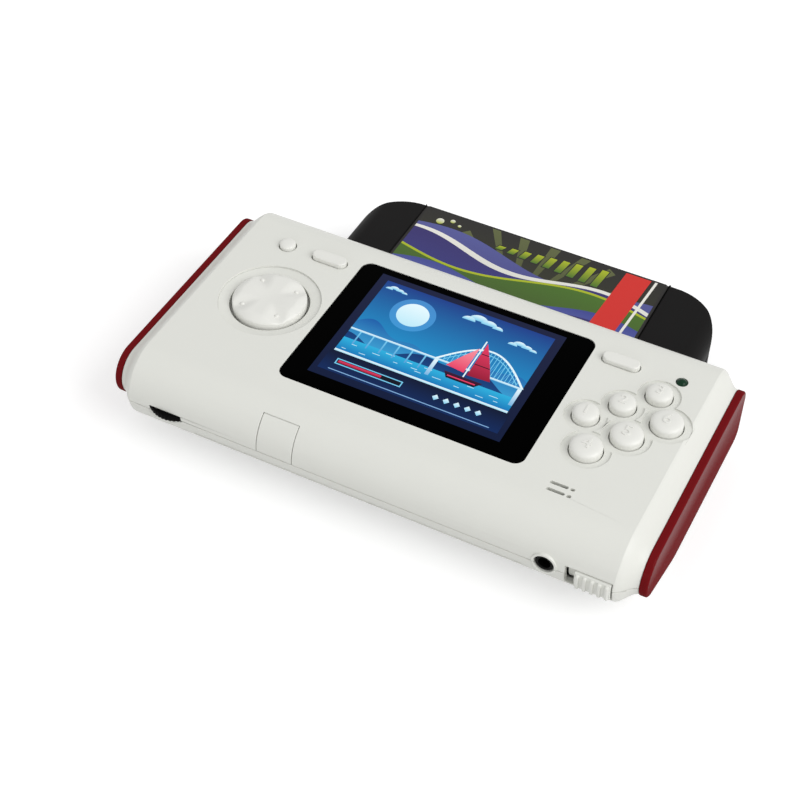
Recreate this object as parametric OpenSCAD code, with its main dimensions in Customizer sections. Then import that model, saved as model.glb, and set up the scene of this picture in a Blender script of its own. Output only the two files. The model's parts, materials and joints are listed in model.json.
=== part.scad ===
// Handheld game console with a plug-in cartridge.
// X points right, Y away from the player and Z up, in millimetres.
// The origin lies on the underside, below the middle of the screen window.

/* [Screen] */
// Width of the screen window
window_w = 76.4; // [70:0.2:84]
// Depth of the screen window, front to back
window_h = 54.9; // [52:0.1:60]
// Thickness of the screen window
window_t = 1.2; // [0.8:0.1:1.4]
// Radius of the window's corners
window_r = 3; // [1:0.5:5]
// Dark border of the window left of the picture
border_left = 7.2; // [5:0.1:10]
// Dark border of the window right of the picture
border_right = 8.7; // [5:0.1:10]
// Dark border of the window in front of the picture
border_front = 5.3; // [4:0.1:8]
// Dark border of the window behind the picture
border_back = 2.6; // [2.2:0.1:6]

/* [Case] */
// Width of the control area left of the window, up to the side panel
grip_left = 44.4; // [43:0.1:52]
// Width of the control area right of the window, up to the side panel
grip_right = 41.6; // [41:0.1:50]
// Distance from the window to the back wall
back_margin = 12.55; // [12:0.05:20]
// Distance from the window to the front edge
front_margin = 18.75; // [18:0.05:26]
// Wall thickness of the two shells
wall = 2; // [1.6:0.05:2.4]
// Radius of the round front edge
nose_r = 12.2; // [11.5:0.1:13]
// Radius of the upper back edge
back_top_r = 10; // [6:0.5:11]
// Radius of the lower back edge
back_bottom_r = 8; // [5:0.5:9]
// Slope of the underside behind the front edge
ramp_a = 17.4; // [14:0.2:20]
// Radius where the slope meets the flat underside
ramp_r = 25; // [15:1:30]
// Distance from the top face down to the parting line of the shells
seam_drop = 13; // [11.5:0.1:14.5]
// Gap at the parting line
seam_gap = 0.25; // [0.1:0.05:0.4]
// Length of the curved shoulder at each end of the case
cove_l = 5.5; // [4:0.1:7]
// How far the shoulder draws in
cove_d = 4.4; // [3:0.1:5]

/* [Side panels] */
// Thickness of a side panel
panel_t = 2.5; // [1.6:0.1:4]
// How far a panel's outline lies inside the outline of the case
panel_inset = 4.2; // [2:0.1:5]
// Rounding of a panel's outer edge
panel_edge = 0.6; // [0.4:0.1:1.2]
// Radius of the pegs that hold a panel
panel_peg_r = 1.5; // [1:0.1:2]

/* [Direction pad] */
// Distance from the window to the middle of the direction pad
dpad_margin = 17.3; // [16:0.1:20]
// Front-to-back place of the direction pad
dpad_y = -1.5; // [-6:0.5:3]
// Radius of the direction pad
dpad_r = 11.2; // [9:0.1:11.5]
// Radius of the dished ring around the direction pad
dpad_ring_r = 15.5; // [14.5:0.1:16]
// Largest tilt of the direction pad
dpad_tilt = 4; // [2:0.5:5]

/* [Face buttons] */
// Distance from the window to the first button of the front row
row_margin = 13.4; // [12.5:0.1:16]
// Front-to-back place of the first button of the front row
row_y = -13.4; // [-15:0.1:-10]
// Angle of the front row
front_row_a = 49; // [42:0.5:55]
// Angle of the back row
back_row_a = 47; // [42:0.5:55]
// Radius of a front row button
front_button_r = 4.7; // [4:0.05:5.5]
// Radius of a back row button
back_button_r = 3.85; // [3:0.05:4.5]
// Space between the buttons of the front row
front_space = 3.1; // [1.8:0.1:4]
// Space between the buttons of the back row
back_space = 3.7; // [1.8:0.1:4.5]
// Space between the rows, front to back
row_space = 3.25; // [1:0.05:4]
// Shift of the back row towards the window
row_shift = 5.1; // [3:0.1:6]
// Height of the buttons above the case
button_rise = 2.4; // [1.4:0.1:3]
// Travel of the buttons
button_travel = 1.2; // [0.6:0.1:1.3]
// Gap between a button and its hole
button_clear = 0.3; // [0.2:0.05:0.35]

/* [Small buttons] */
// Length of the start and menu buttons
pill_l = 11.4; // [9:0.1:13]
// Width of the start and menu buttons
pill_w = 4; // [3:0.1:5]
// Distance from the middle of the window back to the row of small buttons
pill_y = 22.5; // [20:0.1:23]
// Distance from the window to the middle of the start button
start_margin = 9.3; // [9:0.1:11]
// Distance from the window to the middle of the menu button
menu_margin = 10.1; // [9:0.1:11]
// Radius of the reset button
reset_r = 2.5; // [2:0.1:3.2]
// Distance from the window to the middle of the reset button
reset_margin = 24.8; // [22.5:0.1:27]
// Height of the small buttons above the case
pill_rise = 1.5; // [1.2:0.1:1.8]
// Travel of the small buttons
pill_travel = 0.8; // [0.4:0.1:0.8]
// Radius of the power light
led_r = 1.6; // [1.5:0.1:2.2]
// Distance from the window to the middle of the power light
led_margin = 27.6; // [27:0.1:30]
// Distance from the middle of the window back to the power light
led_y = 23.3; // [20:0.1:24]

/* [Front edge] */
// Distance from the end of the case to the middle of the volume wheel
wheel_margin = 17.7; // [15.2:0.1:19]
// Radius of the volume wheel
wheel_r = 8.8; // [8.5:0.1:9.8]
// Thickness of the volume wheel
wheel_t = 2; // [1.4:0.1:2.2]
// How far the volume wheel stands out of the front edge
wheel_out = 1.3; // [0.4:0.1:2]
// Distance from the power switch's opening to the middle of the headphone jack
jack_margin = 5.9; // [5.4:0.1:9]
// Radius of the headphone plug hole
jack_bore_r = 1.8; // [1.75:0.01:1.9]
// Depth of the headphone plug hole
jack_bore_l = 14; // [12:0.5:14]
// Radius of the headphone jack's sleeve
jack_r = 2.7; // [2.6:0.1:3.2]
// Distance from the curved shoulder to the outer end of the power switch
switch_margin = 0.7; // [0.6:0.1:3]
// Width of the power switch's cap
switch_w = 10.4; // [8:0.1:11]
// Travel of the power switch
switch_travel = 2.6; // [1.5:0.1:3]
// Height of the opening for the power switch
switch_h = 7.8; // [6:0.1:8]
// Width of the blank cover on the front edge
port_w = 11.3; // [8:0.1:14]
// Distance from the end of the case to the blank cover
port_margin = 48.2; // [44:0.1:60]

/* [Cartridge] */
// Width of the cartridge
cart_w = 121.5; // [112:0.5:123]
// Length of the cartridge
cart_l = 70; // [64:0.5:80]
// Thickness of the cartridge
cart_t = 17; // [15:0.1:17]
// Sideways place of the cartridge
cart_x = 3.75; // [0:0.25:4.5]
// How far the cartridge stands out of the case
cart_out = 32; // [28:0.5:36]
// Corner radius of the cartridge's outer end
cart_corner_r = 17; // [6:0.5:20]
// Rounding of the cartridge's long sides
cart_side_r = 6; // [2:0.5:7]
// Gap between the cartridge and its slot
cart_clear = 0.4; // [0.3:0.05:0.5]
// Width of the label
label_w = 84; // [60:1:90]

/* [Inside] */
// Room between the top wall and the main board
inner_h = 5.8; // [5.3:0.1:7]
// Thickness of the main board
board_t = 1.6; // [1:0.1:2]
// Width of the battery pack
battery_w = 52; // [40:1:58]
// Thickness of the battery pack
battery_t = 6; // [4:0.1:6.6]
// Radius of the case screws
screw_r = 1; // [0.8:0.05:1.2]
// Radius of the speaker
speaker_r = 7; // [5:0.1:7.6]

/* [Hidden] */
$fn = 64;
eps = 0.01;
cut = 1;
gap = 0.3;
rest_gap = 0.2;
fit = 0.1;
tip_gap = 0.4;

// Height of the case: walls, room above the board, board, cartridge and the spaces around it
over_cart = 1;
under_cart = 0.6;
case_h = 2 * wall + inner_h + board_t + over_cart + cart_t + under_cart;

// Outline of the case, seen from its right end
case_l = window_w + grip_left + grip_right;
case_x = (grip_right - grip_left) / 2;
back_y = window_h / 2 + back_margin;
front_y = -window_h / 2 - front_margin;
nose_y = front_y + nose_r;
nose_z = case_h - nose_r;
arc_step = 10;
ramp_top_y = nose_y - nose_r * sin(ramp_a);
ramp_top_z = nose_z - nose_r * cos(ramp_a);
ramp_foot_y = ramp_top_y + ramp_top_z / tan(ramp_a);
ramp_y = ramp_foot_y + ramp_r * tan(ramp_a / 2);
arcs = [[back_y - back_top_r, case_h - back_top_r, back_top_r, 0, 90],
        [nose_y, nose_z, nose_r, 90, 270 - ramp_a],
        [ramp_y, ramp_r, ramp_r, 270 - ramp_a, 270],
        [back_y - back_bottom_r, back_bottom_r, back_bottom_r, 270, 360]];
function arc_points(arc, inset) =
  let (n = max(3, ceil((arc[4] - arc[3]) / arc_step)))
  [for (k = [0 : n]) let (a = arc[3] + (arc[4] - arc[3]) * k / n)
    [arc[0] + (arc[2] - inset) * cos(a), arc[1] + (arc[2] - inset) * sin(a)]];
function outline(inset) = [for (arc = arcs) each arc_points(arc, inset)];

// Curved shoulder: [distance from the middle of the case, inset] along a smooth curve through four handles,
// from the full outline to the end face
end_x = case_l / 2;
left_end = case_x - end_x;
right_end = case_x + end_x;
shoulder_x = end_x - cove_l;
cove_run = [0, 0.36, 0.6, 1] * cove_l;
cove_fall = [0, 0.2, 0.9, 1] * cove_d;
cove_steps = 8;
function bend(h, t) = let (s = 1 - t)
  h[0] * s * s * s + 3 * h[1] * s * s * t + 3 * h[2] * s * t * t + h[3] * t * t * t;
shoulder = [for (k = [0 : cove_steps]) let (t = k / cove_steps)
  [shoulder_x + bend(cove_run, t), bend(cove_fall, t)]];

// Levels, from the top face down
top_in = case_h - wall;
seam_z = case_h - seam_drop;
window_z = case_h - window_t;
lcd_w = window_w - border_left - border_right;
lcd_h = window_h - border_front - border_back;
lcd_x = (border_left - border_right) / 2;
lcd_y = (border_front - border_back) / 2;
lcd_margin = 2.8;
lcd_glass_t = 1.4;
lcd_light_t = 1.6;
lcd_pan_t = 0.4;
lcd_pan_wall = 0.6;
lcd_top = top_in - gap;
lcd_bottom = lcd_top - lcd_glass_t - lcd_light_t - lcd_pan_t;
lcd_glass_w = lcd_w + 2 * lcd_margin;
lcd_glass_h = lcd_h + 2 * lcd_margin;
lcd_pan_w = lcd_glass_w + 2 * (lcd_pan_wall + rest_gap);
lcd_pan_h = lcd_glass_h + 2 * (lcd_pan_wall + rest_gap);
board_top = top_in - inner_h;
board_z = board_top - board_t;
cart_top = board_z - over_cart;
cart_z = cart_top - cart_t;
cart_mid = cart_z + cart_t / 2;
sheet_t = 0.8;
dome_rest = 0.8;
function dome_top(travel) = board_top + sheet_t + dome_rest + travel;

// Direction pad
dpad_x = -window_w / 2 - dpad_margin;
dpad_clear = 0.9;
dpad_rise = 1.8;
dpad_dish = 1.1;
dpad_step = 0.6;
dpad_flange = 2.4;
dpad_flange_r = dpad_r + dpad_flange;
dpad_flange_t = 1.2;
dpad_spare = 1.5;
dpad_flange_z = top_in - dpad_flange_t - dpad_flange_r * sin(dpad_spare * dpad_tilt) - rest_gap;
dpad_hub_r = 3;
pivot_r = 1.4;
pivot_z = board_top + gap + pivot_r;

// Face buttons: [X, Y, cap radius, radius of the dish around it], front row first
front_start = [window_w / 2 + row_margin, row_y];
back_start = front_start + [-row_shift, front_button_r + back_button_r + row_space];
button_dish = 0.55;
button_dish_w = 2.45;
button_flange = 0.6;
button_flange_t = 1;
flange_top = top_in - gap;
flange_z = flange_top - button_flange_t;
function row_of(start, r, space, a) = [for (k = [0 : 2])
  let (p = start + k * (2 * r + space) * [cos(a), sin(a)]) [p[0], p[1], r, r + button_dish_w]];
buttons = concat(row_of(front_start, front_button_r, front_space, front_row_a),
                 row_of(back_start, back_button_r, back_space, back_row_a));

// Small buttons and light
start_x = window_w / 2 + start_margin;
menu_x = -window_w / 2 - menu_margin;
reset_x = -window_w / 2 - reset_margin;
led_x = window_w / 2 + led_margin;

// Front edge
wheel_x = left_end + wheel_margin;
wheel_y = front_y - wheel_out + wheel_r;
wheel_drop = 0.6;
wheel_z = seam_z - wheel_drop;
wheel_shaft_r = 1.5;
wheel_fit = 0.05;
switch_x1 = case_x + shoulder_x - switch_margin;
switch_x0 = switch_x1 - switch_w;
switch_slot_x = switch_x0 - switch_travel - gap;
switch_drop = 5.6;
switch_z = nose_z - switch_drop;
switch_out = 0.5;
jack_x = switch_slot_x - jack_margin;
jack_z = nose_z;
jack_collar_t = 1;
jack_collar_r = jack_r + jack_collar_t;
jack_face_y = front_y + rest_gap;
jack_body_w = 7;
port_x = left_end + port_margin;
port_drop = 2.3;
port_top = case_h - port_drop;
port_relief = 0.4;
port_t = wall - port_relief;

// Charging port in the back wall, behind the left screw
charge_w = 6.4;
charge_h = 3.2;
charge_l = 7.6;
charge_sheet = 0.4;
charge_drop = 6;
charge_z = seam_z - charge_drop;

// Speaker
speaker_margin = 13.2;
speaker_set = 5.8;
speaker_x = window_w / 2 + speaker_margin;
speaker_y = nose_y + speaker_set;
speaker_t = 4.4;
grille_shift = 1.9;
grille_y = speaker_y - grille_shift;

// Fasteners: case screws, then board screws
boss_r = 2.6;
boss_gap = 6.3;
boss_side = 11.5;
boss_set = 12;
boss_shift = 2;
screw_head_r = 2;
screw_head_t = 1.5;
screw_head_drop = 7;
screw_head_z = seam_z - screw_head_drop;
screw_bite = 7;
head_wall = 1.2;
head_boss_r = screw_head_r + head_wall;
back_boss_y = back_y - charge_l - gap - head_boss_r;
back_boss_x = [cart_x - cart_w / 2 - boss_gap, cart_x + cart_w / 2 + boss_gap];
front_boss_y = nose_y + boss_set;
beside_lcd = lcd_pan_w / 2 + boss_r + boss_shift;
bosses = [[back_boss_x[0], back_boss_y], [back_boss_x[1], back_boss_y],
          [left_end + boss_side, front_boss_y + boss_shift], [right_end - boss_side, front_boss_y],
          [lcd_x - beside_lcd, front_boss_y], [lcd_x + beside_lcd, front_boss_y - boss_shift]];
charge_x = back_boss_x[0];
post_r = 2.2;
post_back_gap = 0.8;
post_front_gap = 2.1;
post_x = 25;
post_shift = 10;
post_back_y = lcd_y + lcd_pan_h / 2 + post_r + post_back_gap;
post_front_y = lcd_y - lcd_pan_h / 2 - post_r - post_front_gap;
posts = [[-post_x, post_back_y], [post_x, post_back_y],
         [post_shift - post_x, post_front_y], [post_x, post_front_y]];
post_bite = 3.4;
post_screw_l = board_t + post_bite;

// Cartridge and its connector
cart_y1 = back_y + cart_out;
cart_y0 = cart_y1 - cart_l;
cart_wall = 1.8;
cart_split = 0.1;
cart_board_t = 1.6;
cart_board_w = 92;
cart_board_l = 30;
cart_screw_set = 20;
cart_screw_y = cart_y1 - cart_screw_set;
cart_screw_bite = 4;
cart_head_set = 4;
cart_head_z = cart_z + cart_head_set;
tongue_set = 1;
tongue_y = cart_y0 + tongue_set;
mouth_side = 3;
mouth_w = cart_board_w + 2 * mouth_side;
mouth_h = 9;
connector_side = 4;
connector_w = cart_board_w + 2 * connector_side;
connector_l = 6.5;
connector_y = cart_y0 - connector_l;
connector_reach = 7;
connector_slot = 1.6;
pin_count = 32;
pin_pitch = 2.54;
pin_t = 0.4;
label_t = 0.2;
label_shift = 1;
label_x = cart_x - label_shift;
label_l = 48;

// Battery and its cover
battery_gap = 5.5;
battery_set = 2;
battery_drop = 6;
battery_y1 = connector_y - battery_gap;
battery_y0 = nose_y - battery_set;
battery_z1 = board_z - battery_drop;
battery_z0 = battery_z1 - battery_t;
hatch_side = 1.2;
hatch_end = 1;
hatch_half = battery_w / 2 + hatch_side;
hatch_y0 = battery_y0 - hatch_end;
hatch_y1 = battery_y1 + hatch_end;
hatch_t = wall - fit;
hatch_wall_t = 1.2;
hatch_boss_h = 1.2;
hatch_lug_h = 4;
hatch_screw_set = 3.5;
hatch_screw_y = hatch_y1 - hatch_screw_set;
hatch_head_t = 1.2;
hatch_sink = 0.4;
hatch_bite = 2.8;
hatch_screw_l = wall + hatch_boss_h + hatch_bite;

shell_colour = [0.87, 0.87, 0.84];
button_colour = [0.9, 0.9, 0.87];
panel_colour = [0.43, 0.06, 0.08];
dark_colour = [0.07, 0.07, 0.07];
cart_colour = [0.13, 0.13, 0.13];
metal_colour = [0.75, 0.76, 0.78];
rubber_colour = [0.5, 0.52, 0.55];
board_colour = [0.05, 0.33, 0.18];

// Shapes shared by the pieces
module profile(inset) polygon(outline(inset));

module along_x(x0, x1) translate([x0, 0, 0]) rotate([90, 0, 90]) linear_extrude(x1 - x0) children();

module along_y(y0, y1) translate([0, y1, 0]) rotate([90, 0, 0]) linear_extrude(y1 - y0) children();

module at_z(z0, z1) translate([0, 0, z0]) linear_extrude(z1 - z0) children();

module block(x0, x1, y0, y1, z0, z1) translate([x0, y0, z0]) cube([x1 - x0, y1 - y0, z1 - z0]);

module rounded(w, h, r) {
  square([w - 2 * r, h], center = true);
  square([w, h - 2 * r], center = true);
  for (x = [-1, 1], y = [-1, 1]) translate([x * (w / 2 - r), y * (h / 2 - r)]) circle(r);
}

module pill(l, w) {
  square([l - w, w], center = true);
  for (s = [-1, 1]) translate([s * (l - w) / 2, 0]) circle(w / 2);
}

// Solid through a list of [X, inset] rings of the case outline
module skin(rings) {
  n = len(outline(0));
  last = len(rings) - 1;
  points = [for (ring = rings, p = outline(ring[1])) [ring[0], p[0], p[1]]];
  sides = [for (k = [0 : last - 1], j = [0 : n - 1]) let (a = k * n + j, b = k * n + (j + 1) % n)
    each [[a, a + n, b], [b, a + n, b + n]]];
  ends = [[for (j = [0 : n - 1]) j], [for (j = [n - 1 : -1 : 0]) last * n + j]];
  polyhedron(points, concat(sides, ends));
}

// Part of the outline's wall that lies between two heights at the front edge
module nose_band(x0, x1, outer, inner, z0, z1) along_x(x0, x1) intersection() {
  difference() {
    profile(outer);
    profile(inner);
  }
  translate([front_y - nose_r, z0]) square([nose_r * 2, z1 - z0]);
}

module case_solid() translate([case_x, 0, 0]) {
  along_x(-shoulder_x, shoulder_x) profile(0);
  for (side = [0, 1]) mirror([side, 0, 0]) skin(shoulder);
}

module case_hollow() translate([case_x, 0, 0]) {
  along_x(-shoulder_x + rest_gap, shoulder_x - rest_gap) profile(wall);
  along_x(-end_x + wall, end_x - wall) profile(cove_d + wall);
}

// Openings that both shells share
module shared_openings() {
  cart_slot();
  translate([jack_x, nose_y, jack_z]) rotate([90, 0, 0]) cylinder(r = jack_r + gap, h = nose_r * 2);
  nose_band(switch_slot_x, switch_x1 + gap, -cut, wall + cut, switch_z, switch_z + switch_h);
  translate([wheel_x, wheel_y, wheel_z - rest_gap]) cylinder(r = wheel_r + gap, h = wheel_t + 2 * rest_gap);
  along_y(back_y - charge_l, back_y + cut) translate([charge_x, charge_z])
    square([charge_w + 2 * rest_gap, charge_h + 2 * rest_gap], center = true);
}

// Opening in the back wall for the cartridge, as deep as the rounded lower edge
slot_set = 4;
slot_y = back_y - back_bottom_r - slot_set;
module cart_slot() along_y(slot_y, back_y + cut) translate([cart_x, cart_mid])
  rounded(cart_w + 2 * cart_clear, cart_t + 2 * cart_clear, cart_side_r + cart_clear);

module jack_collar() translate([jack_x, front_y + nose_r / 2, jack_z]) rotate([90, 0, 0])
  cylinder(r = jack_collar_r, h = nose_r / 2 + gap);

// Outside of one shell, between two heights
module shell_solid(z0, z1) intersection() {
  union() {
    case_solid();
    jack_collar();
  }
  block(left_end - cut, right_end + cut, front_y - cut, back_y + cut, z0, z1);
}

// Round hole through the top wall, about a point
module top_hole(x, y, r) translate([x, y, top_in - cut]) cylinder(r = r, h = wall + 2 * cut);

// Shells
module top_shell() color(shell_colour) difference() {
  shell_solid(seam_z + seam_gap / 2, case_h + cut);
  difference() {
    case_hollow();
    lcd_rib();
    top_bosses();
  }
  at_z(window_z, case_h + cut)
    rounded(window_w + 2 * rest_gap, window_h + 2 * rest_gap, window_r + rest_gap);
  at_z(top_in - cut, case_h) translate([lcd_x, lcd_y])
    square([lcd_w + 2 * view, lcd_h + 2 * view], center = true);
  top_hole(dpad_x, dpad_y, dpad_r + dpad_clear);
  translate([dpad_x, dpad_y, case_h - dpad_step]) cylinder(r = dpad_ring_r, h = dpad_step + cut);
  translate([dpad_x, dpad_y, case_h - dpad_dish])
    cylinder(r1 = dpad_r + dpad_clear, r2 = dpad_ring_r, h = dpad_dish - dpad_step + eps);
  for (b = buttons) {
    top_hole(b[0], b[1], b[2] + button_clear);
    translate([b[0], b[1], case_h - button_dish]) cylinder(r = b[3], h = button_dish + cut);
  }
  for (x = [menu_x, start_x]) at_z(top_in - cut, case_h + cut) translate([x, pill_y])
    pill(pill_l + 2 * button_clear, pill_w + 2 * button_clear);
  top_hole(reset_x, pill_y, reset_r + button_clear);
  top_hole(led_x, led_y, led_r + rest_gap);
  grille_slots();
  nose_band(port_x - rest_gap, port_x + port_w + rest_gap, -cut, wall + cut, seam_z,
            port_top + rest_gap);
  shared_openings();
  panel_holes();
  for (b = bosses) translate([b[0], b[1], seam_z]) cylinder(r = screw_r + fit, h = screw_bite + tip_gap);
  for (p = posts) translate([p[0], p[1], board_z]) cylinder(r = screw_r + fit, h = post_screw_l + tip_gap);
}

// Ring that locates the display under the window, and the margin of the opening above the picture
view = 0.9;
rib_h = 1.7;
rib_t = 1;
module lcd_rib() at_z(top_in - rib_h, top_in + eps) translate([lcd_x, lcd_y]) difference() {
  square([lcd_pan_w + 2 * (gap + rib_t), lcd_pan_h + 2 * (gap + rib_t)], center = true);
  square([lcd_pan_w + 2 * gap, lcd_pan_h + 2 * gap], center = true);
}

module top_bosses() {
  for (b = bosses) translate([b[0], b[1], seam_z]) cylinder(r = boss_r, h = case_h - seam_z);
  for (p = posts) translate([p[0], p[1], board_top]) cylinder(r = post_r, h = case_h - board_top);
}

module grille_slots() {
  slot_w = 1;
  slot_l = 5.4;
  slot_end = 1.6;
  dot_l = 1.4;
  dot_start = 2.1;
  row_step = 2.6;
  for (k = [-1, 1]) at_z(top_in - cut, case_h + cut) translate([speaker_x, grille_y + k * row_step / 2]) {
    translate([slot_end - slot_l / 2, 0]) pill(slot_l, slot_w);
    translate([dot_start + dot_l / 2, 0]) pill(dot_l, slot_w);
  }
}

// Holes in the end walls for the pegs of the side panels: [Y, Z] of each peg
peg_front = 12;
peg_back = 16;
peg_shift = 10;
peg_drop = 8.5;
peg_low = 9;
pegs = [[nose_y + peg_front, case_h - peg_drop], [back_y - peg_back, case_h - peg_drop],
        [(front_y + back_y) / 2 + peg_shift, seam_z - peg_low]];
module panel_holes() translate([case_x, 0, 0]) for (p = pegs, side = [0, 1]) mirror([side, 0, 0])
  translate([end_x - wall - cut, p[0], p[1]]) rotate([0, 90, 0])
    cylinder(r = panel_peg_r + fit, h = wall + 2 * cut);

module bottom_shell() color(shell_colour) difference() {
  shell_solid(-cut, seam_z - seam_gap / 2);
  difference() {
    case_hollow();
    bottom_bosses();
    cart_rails();
    battery_walls();
  }
  shared_openings();
  panel_holes();
  for (b = bosses) translate([b[0], b[1], -cut]) {
    cylinder(r = screw_r + gap, h = seam_z + cut);
    cylinder(r = screw_head_r + gap, h = screw_head_z + cut);
  }
  along_x(-hatch_half - rest_gap, hatch_half + rest_gap) difference() {
    translate([hatch_y0 - rest_gap, -cut]) square([hatch_y1 - hatch_y0 + 2 * rest_gap, battery_z1]);
    profile(wall + eps);
  }
  translate([0, hatch_screw_y, hatch_sink]) cylinder(r = screw_r + fit, h = hatch_screw_l + tip_gap);
  thumb_scoop();
  front_groove();
}

module bottom_bosses() for (b = bosses) translate([b[0], b[1], 0]) cylinder(r = head_boss_r, h = seam_z);

module cart_rails() let (half = 1.5) for (s = [-1, 1]) let (x = cart_x + s * cart_w / 4)
  block(x - half, x + half, cart_y0, slot_y - gap, 0, cart_z - gap);

// Walls around the battery and the lug that takes the screw of its cover
module battery_walls() {
  below = 1;
  top = battery_z1 - below;
  inside = hatch_half + rest_gap;
  wall_y = hatch_y1 + rest_gap;
  lug_half = 4;
  lug_front = 2.5;
  lug_z = wall + hatch_boss_h + rest_gap;
  for (s = [-1, 1]) let (x = s * (inside + hatch_wall_t / 2))
    block(x - hatch_wall_t / 2, x + hatch_wall_t / 2, hatch_y0, hatch_y1 + hatch_wall_t, 0, top);
  block(-inside - hatch_wall_t, inside + hatch_wall_t, wall_y, wall_y + hatch_wall_t, 0, top);
  block(-lug_half, lug_half, hatch_screw_y - lug_front, wall_y + eps, lug_z, lug_z + hatch_lug_h);
}

module thumb_scoop() {
  depth = 2;
  half = 6.75;
  drop = 3.8;
  taper = 1.3;
  shift = 1;
  r = (half * half + depth * depth) / (2 * depth);
  translate([wheel_x - shift, front_y + depth - r, seam_z - drop]) cylinder(r1 = r - taper, r2 = r, h = drop);
}

module front_groove() let (drop = 4.4, w = 0.7, depth = 0.5, short = 3, z = seam_z - drop)
  nose_band(wheel_x + wheel_r, jack_x - jack_collar_r - short, -cut, depth, z - w / 2, z + w / 2);

// Side panels
module side_panel() color(panel_colour) {
  x0 = end_x + fit;
  x1 = x0 + panel_t;
  bevel = 0.2;
  skin(concat([[x0, panel_inset + bevel], [x0 + bevel, panel_inset]],
    [for (a = [0 : 22.5 : 90]) [x1 - panel_edge * (1 - sin(a)), panel_inset + panel_edge * (1 - cos(a))]]));
  for (p = pegs) translate([x0 - wall, p[0], p[1]]) rotate([0, 90, 0])
    cylinder(r = panel_peg_r, h = wall + bevel);
}

module right_side_panel() translate([case_x, 0, 0]) side_panel();

module left_side_panel() translate([case_x, 0, 0]) mirror([1, 0, 0]) side_panel();

// Screen
module screen_window() color(dark_colour) at_z(window_z, case_h) rounded(window_w, window_h, window_r);

module lcd_glass() color([0.1, 0.3, 0.6]) translate([lcd_x, lcd_y, lcd_top - lcd_glass_t / 2])
  cube([lcd_glass_w, lcd_glass_h, lcd_glass_t], center = true);

module lcd_backlight() color("white")
  translate([lcd_x, lcd_y, lcd_top - lcd_glass_t - lcd_light_t / 2])
    cube([lcd_glass_w, lcd_glass_h, lcd_light_t], center = true);

module lcd_pan() color(metal_colour) translate([lcd_x, lcd_y, lcd_bottom]) difference() {
  linear_extrude(lcd_top - lcd_bottom) square([lcd_pan_w, lcd_pan_h], center = true);
  translate([0, 0, lcd_pan_t]) linear_extrude(lcd_top)
    square([lcd_glass_w + 2 * rest_gap, lcd_glass_h + 2 * rest_gap], center = true);
}

module lcd_cushions() color(dark_colour) let (r = 3, inset = 4) for (x = [-1, 1], y = [-1, 1])
  translate([lcd_x + x * (lcd_w / 2 - inset), lcd_y + y * (lcd_h / 2 - inset), board_top])
    cylinder(r = r, h = lcd_bottom - board_top);

// Flat flexible cable from the display down to the board
ribbon_w = 20;
ribbon_t = 0.25;
module lcd_ribbon() color([0.75, 0.5, 0.15]) {
  run = 1.2;
  lift = 0.5;
  y = lcd_y - lcd_pan_h / 2;
  z = lcd_bottom + lift;
  along_x(lcd_x - ribbon_w / 2, lcd_x + ribbon_w / 2)
    polygon([[y, z + ribbon_t], [y - run, z + ribbon_t], [y - 3 * run, board_top + ribbon_t],
             [y - 4 * run, board_top + ribbon_t], [y - 4 * run, board_top],
             [y - 3 * run + ribbon_t, board_top], [y - run + ribbon_t, z], [y, z]]);
}

// Main board and what is soldered to it
board_side = 1.6;
board_front = 7;
board_back = 4;
board_x = shoulder_x - board_side;
board_y0 = nose_y - board_front;
board_y1 = back_y - board_back;
board_corner_r = 3;
module main_board() color(board_colour) difference() {
  at_z(board_z, board_top) translate([case_x, (board_y0 + board_y1) / 2])
    rounded(2 * board_x, board_y1 - board_y0, board_corner_r);
  for (b = bosses) translate([b[0], b[1], board_z - cut]) cylinder(r = boss_r + gap, h = board_t + 2 * cut);
  for (p = posts) translate([p[0], p[1], board_z - cut])
    cylinder(r = screw_r + rest_gap, h = board_t + 2 * cut);
}

chip_t = 1.2;
chip_place = [-8, 2];
module main_chip() color(dark_colour) translate([chip_place[0], chip_place[1], board_top]) {
  side = 14;
  stand = 0.2;
  lead_l = 1.2;
  lead_w = 0.6;
  lead_h = 0.7;
  lead_pitch = 1.2;
  translate([0, 0, stand + chip_t / 2]) cube([side, side, chip_t], center = true);
  for (k = [-5 : 5], a = [0 : 90 : 270]) rotate(a)
    translate([k * lead_pitch, side / 2 + lead_l / 2 - eps, lead_h / 2])
      cube([lead_w, lead_l, lead_h], center = true);
}

memory_places = [[14, -8], [14, 11]];
module memory_chips() color(dark_colour) let (w = 8, l = 12) for (p = memory_places)
  translate([p[0], p[1], board_top + chip_t / 2]) cube([w, l, chip_t], center = true);

// Capacitors along the front of the board: distances from the middle and from the front row of posts
capacitors = [[-36, 2], [-31, -3], [36, -3], [-20, -5], [-44, 0]];
module board_capacitors() color([0.35, 0.3, 0.25]) let (r = 1.6, h = 3.2) for (p = capacitors)
  translate([p[0], post_front_y + p[1], board_top]) cylinder(r = r, h = h);

module board_screws() color(metal_colour) let (head_r = 1.9, head_t = 0.6) for (p = posts)
  translate([p[0], p[1], board_z]) {
    translate([0, 0, -head_t]) cylinder(r = head_r, h = head_t);
    cylinder(r = screw_r, h = post_screw_l);
  }

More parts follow.
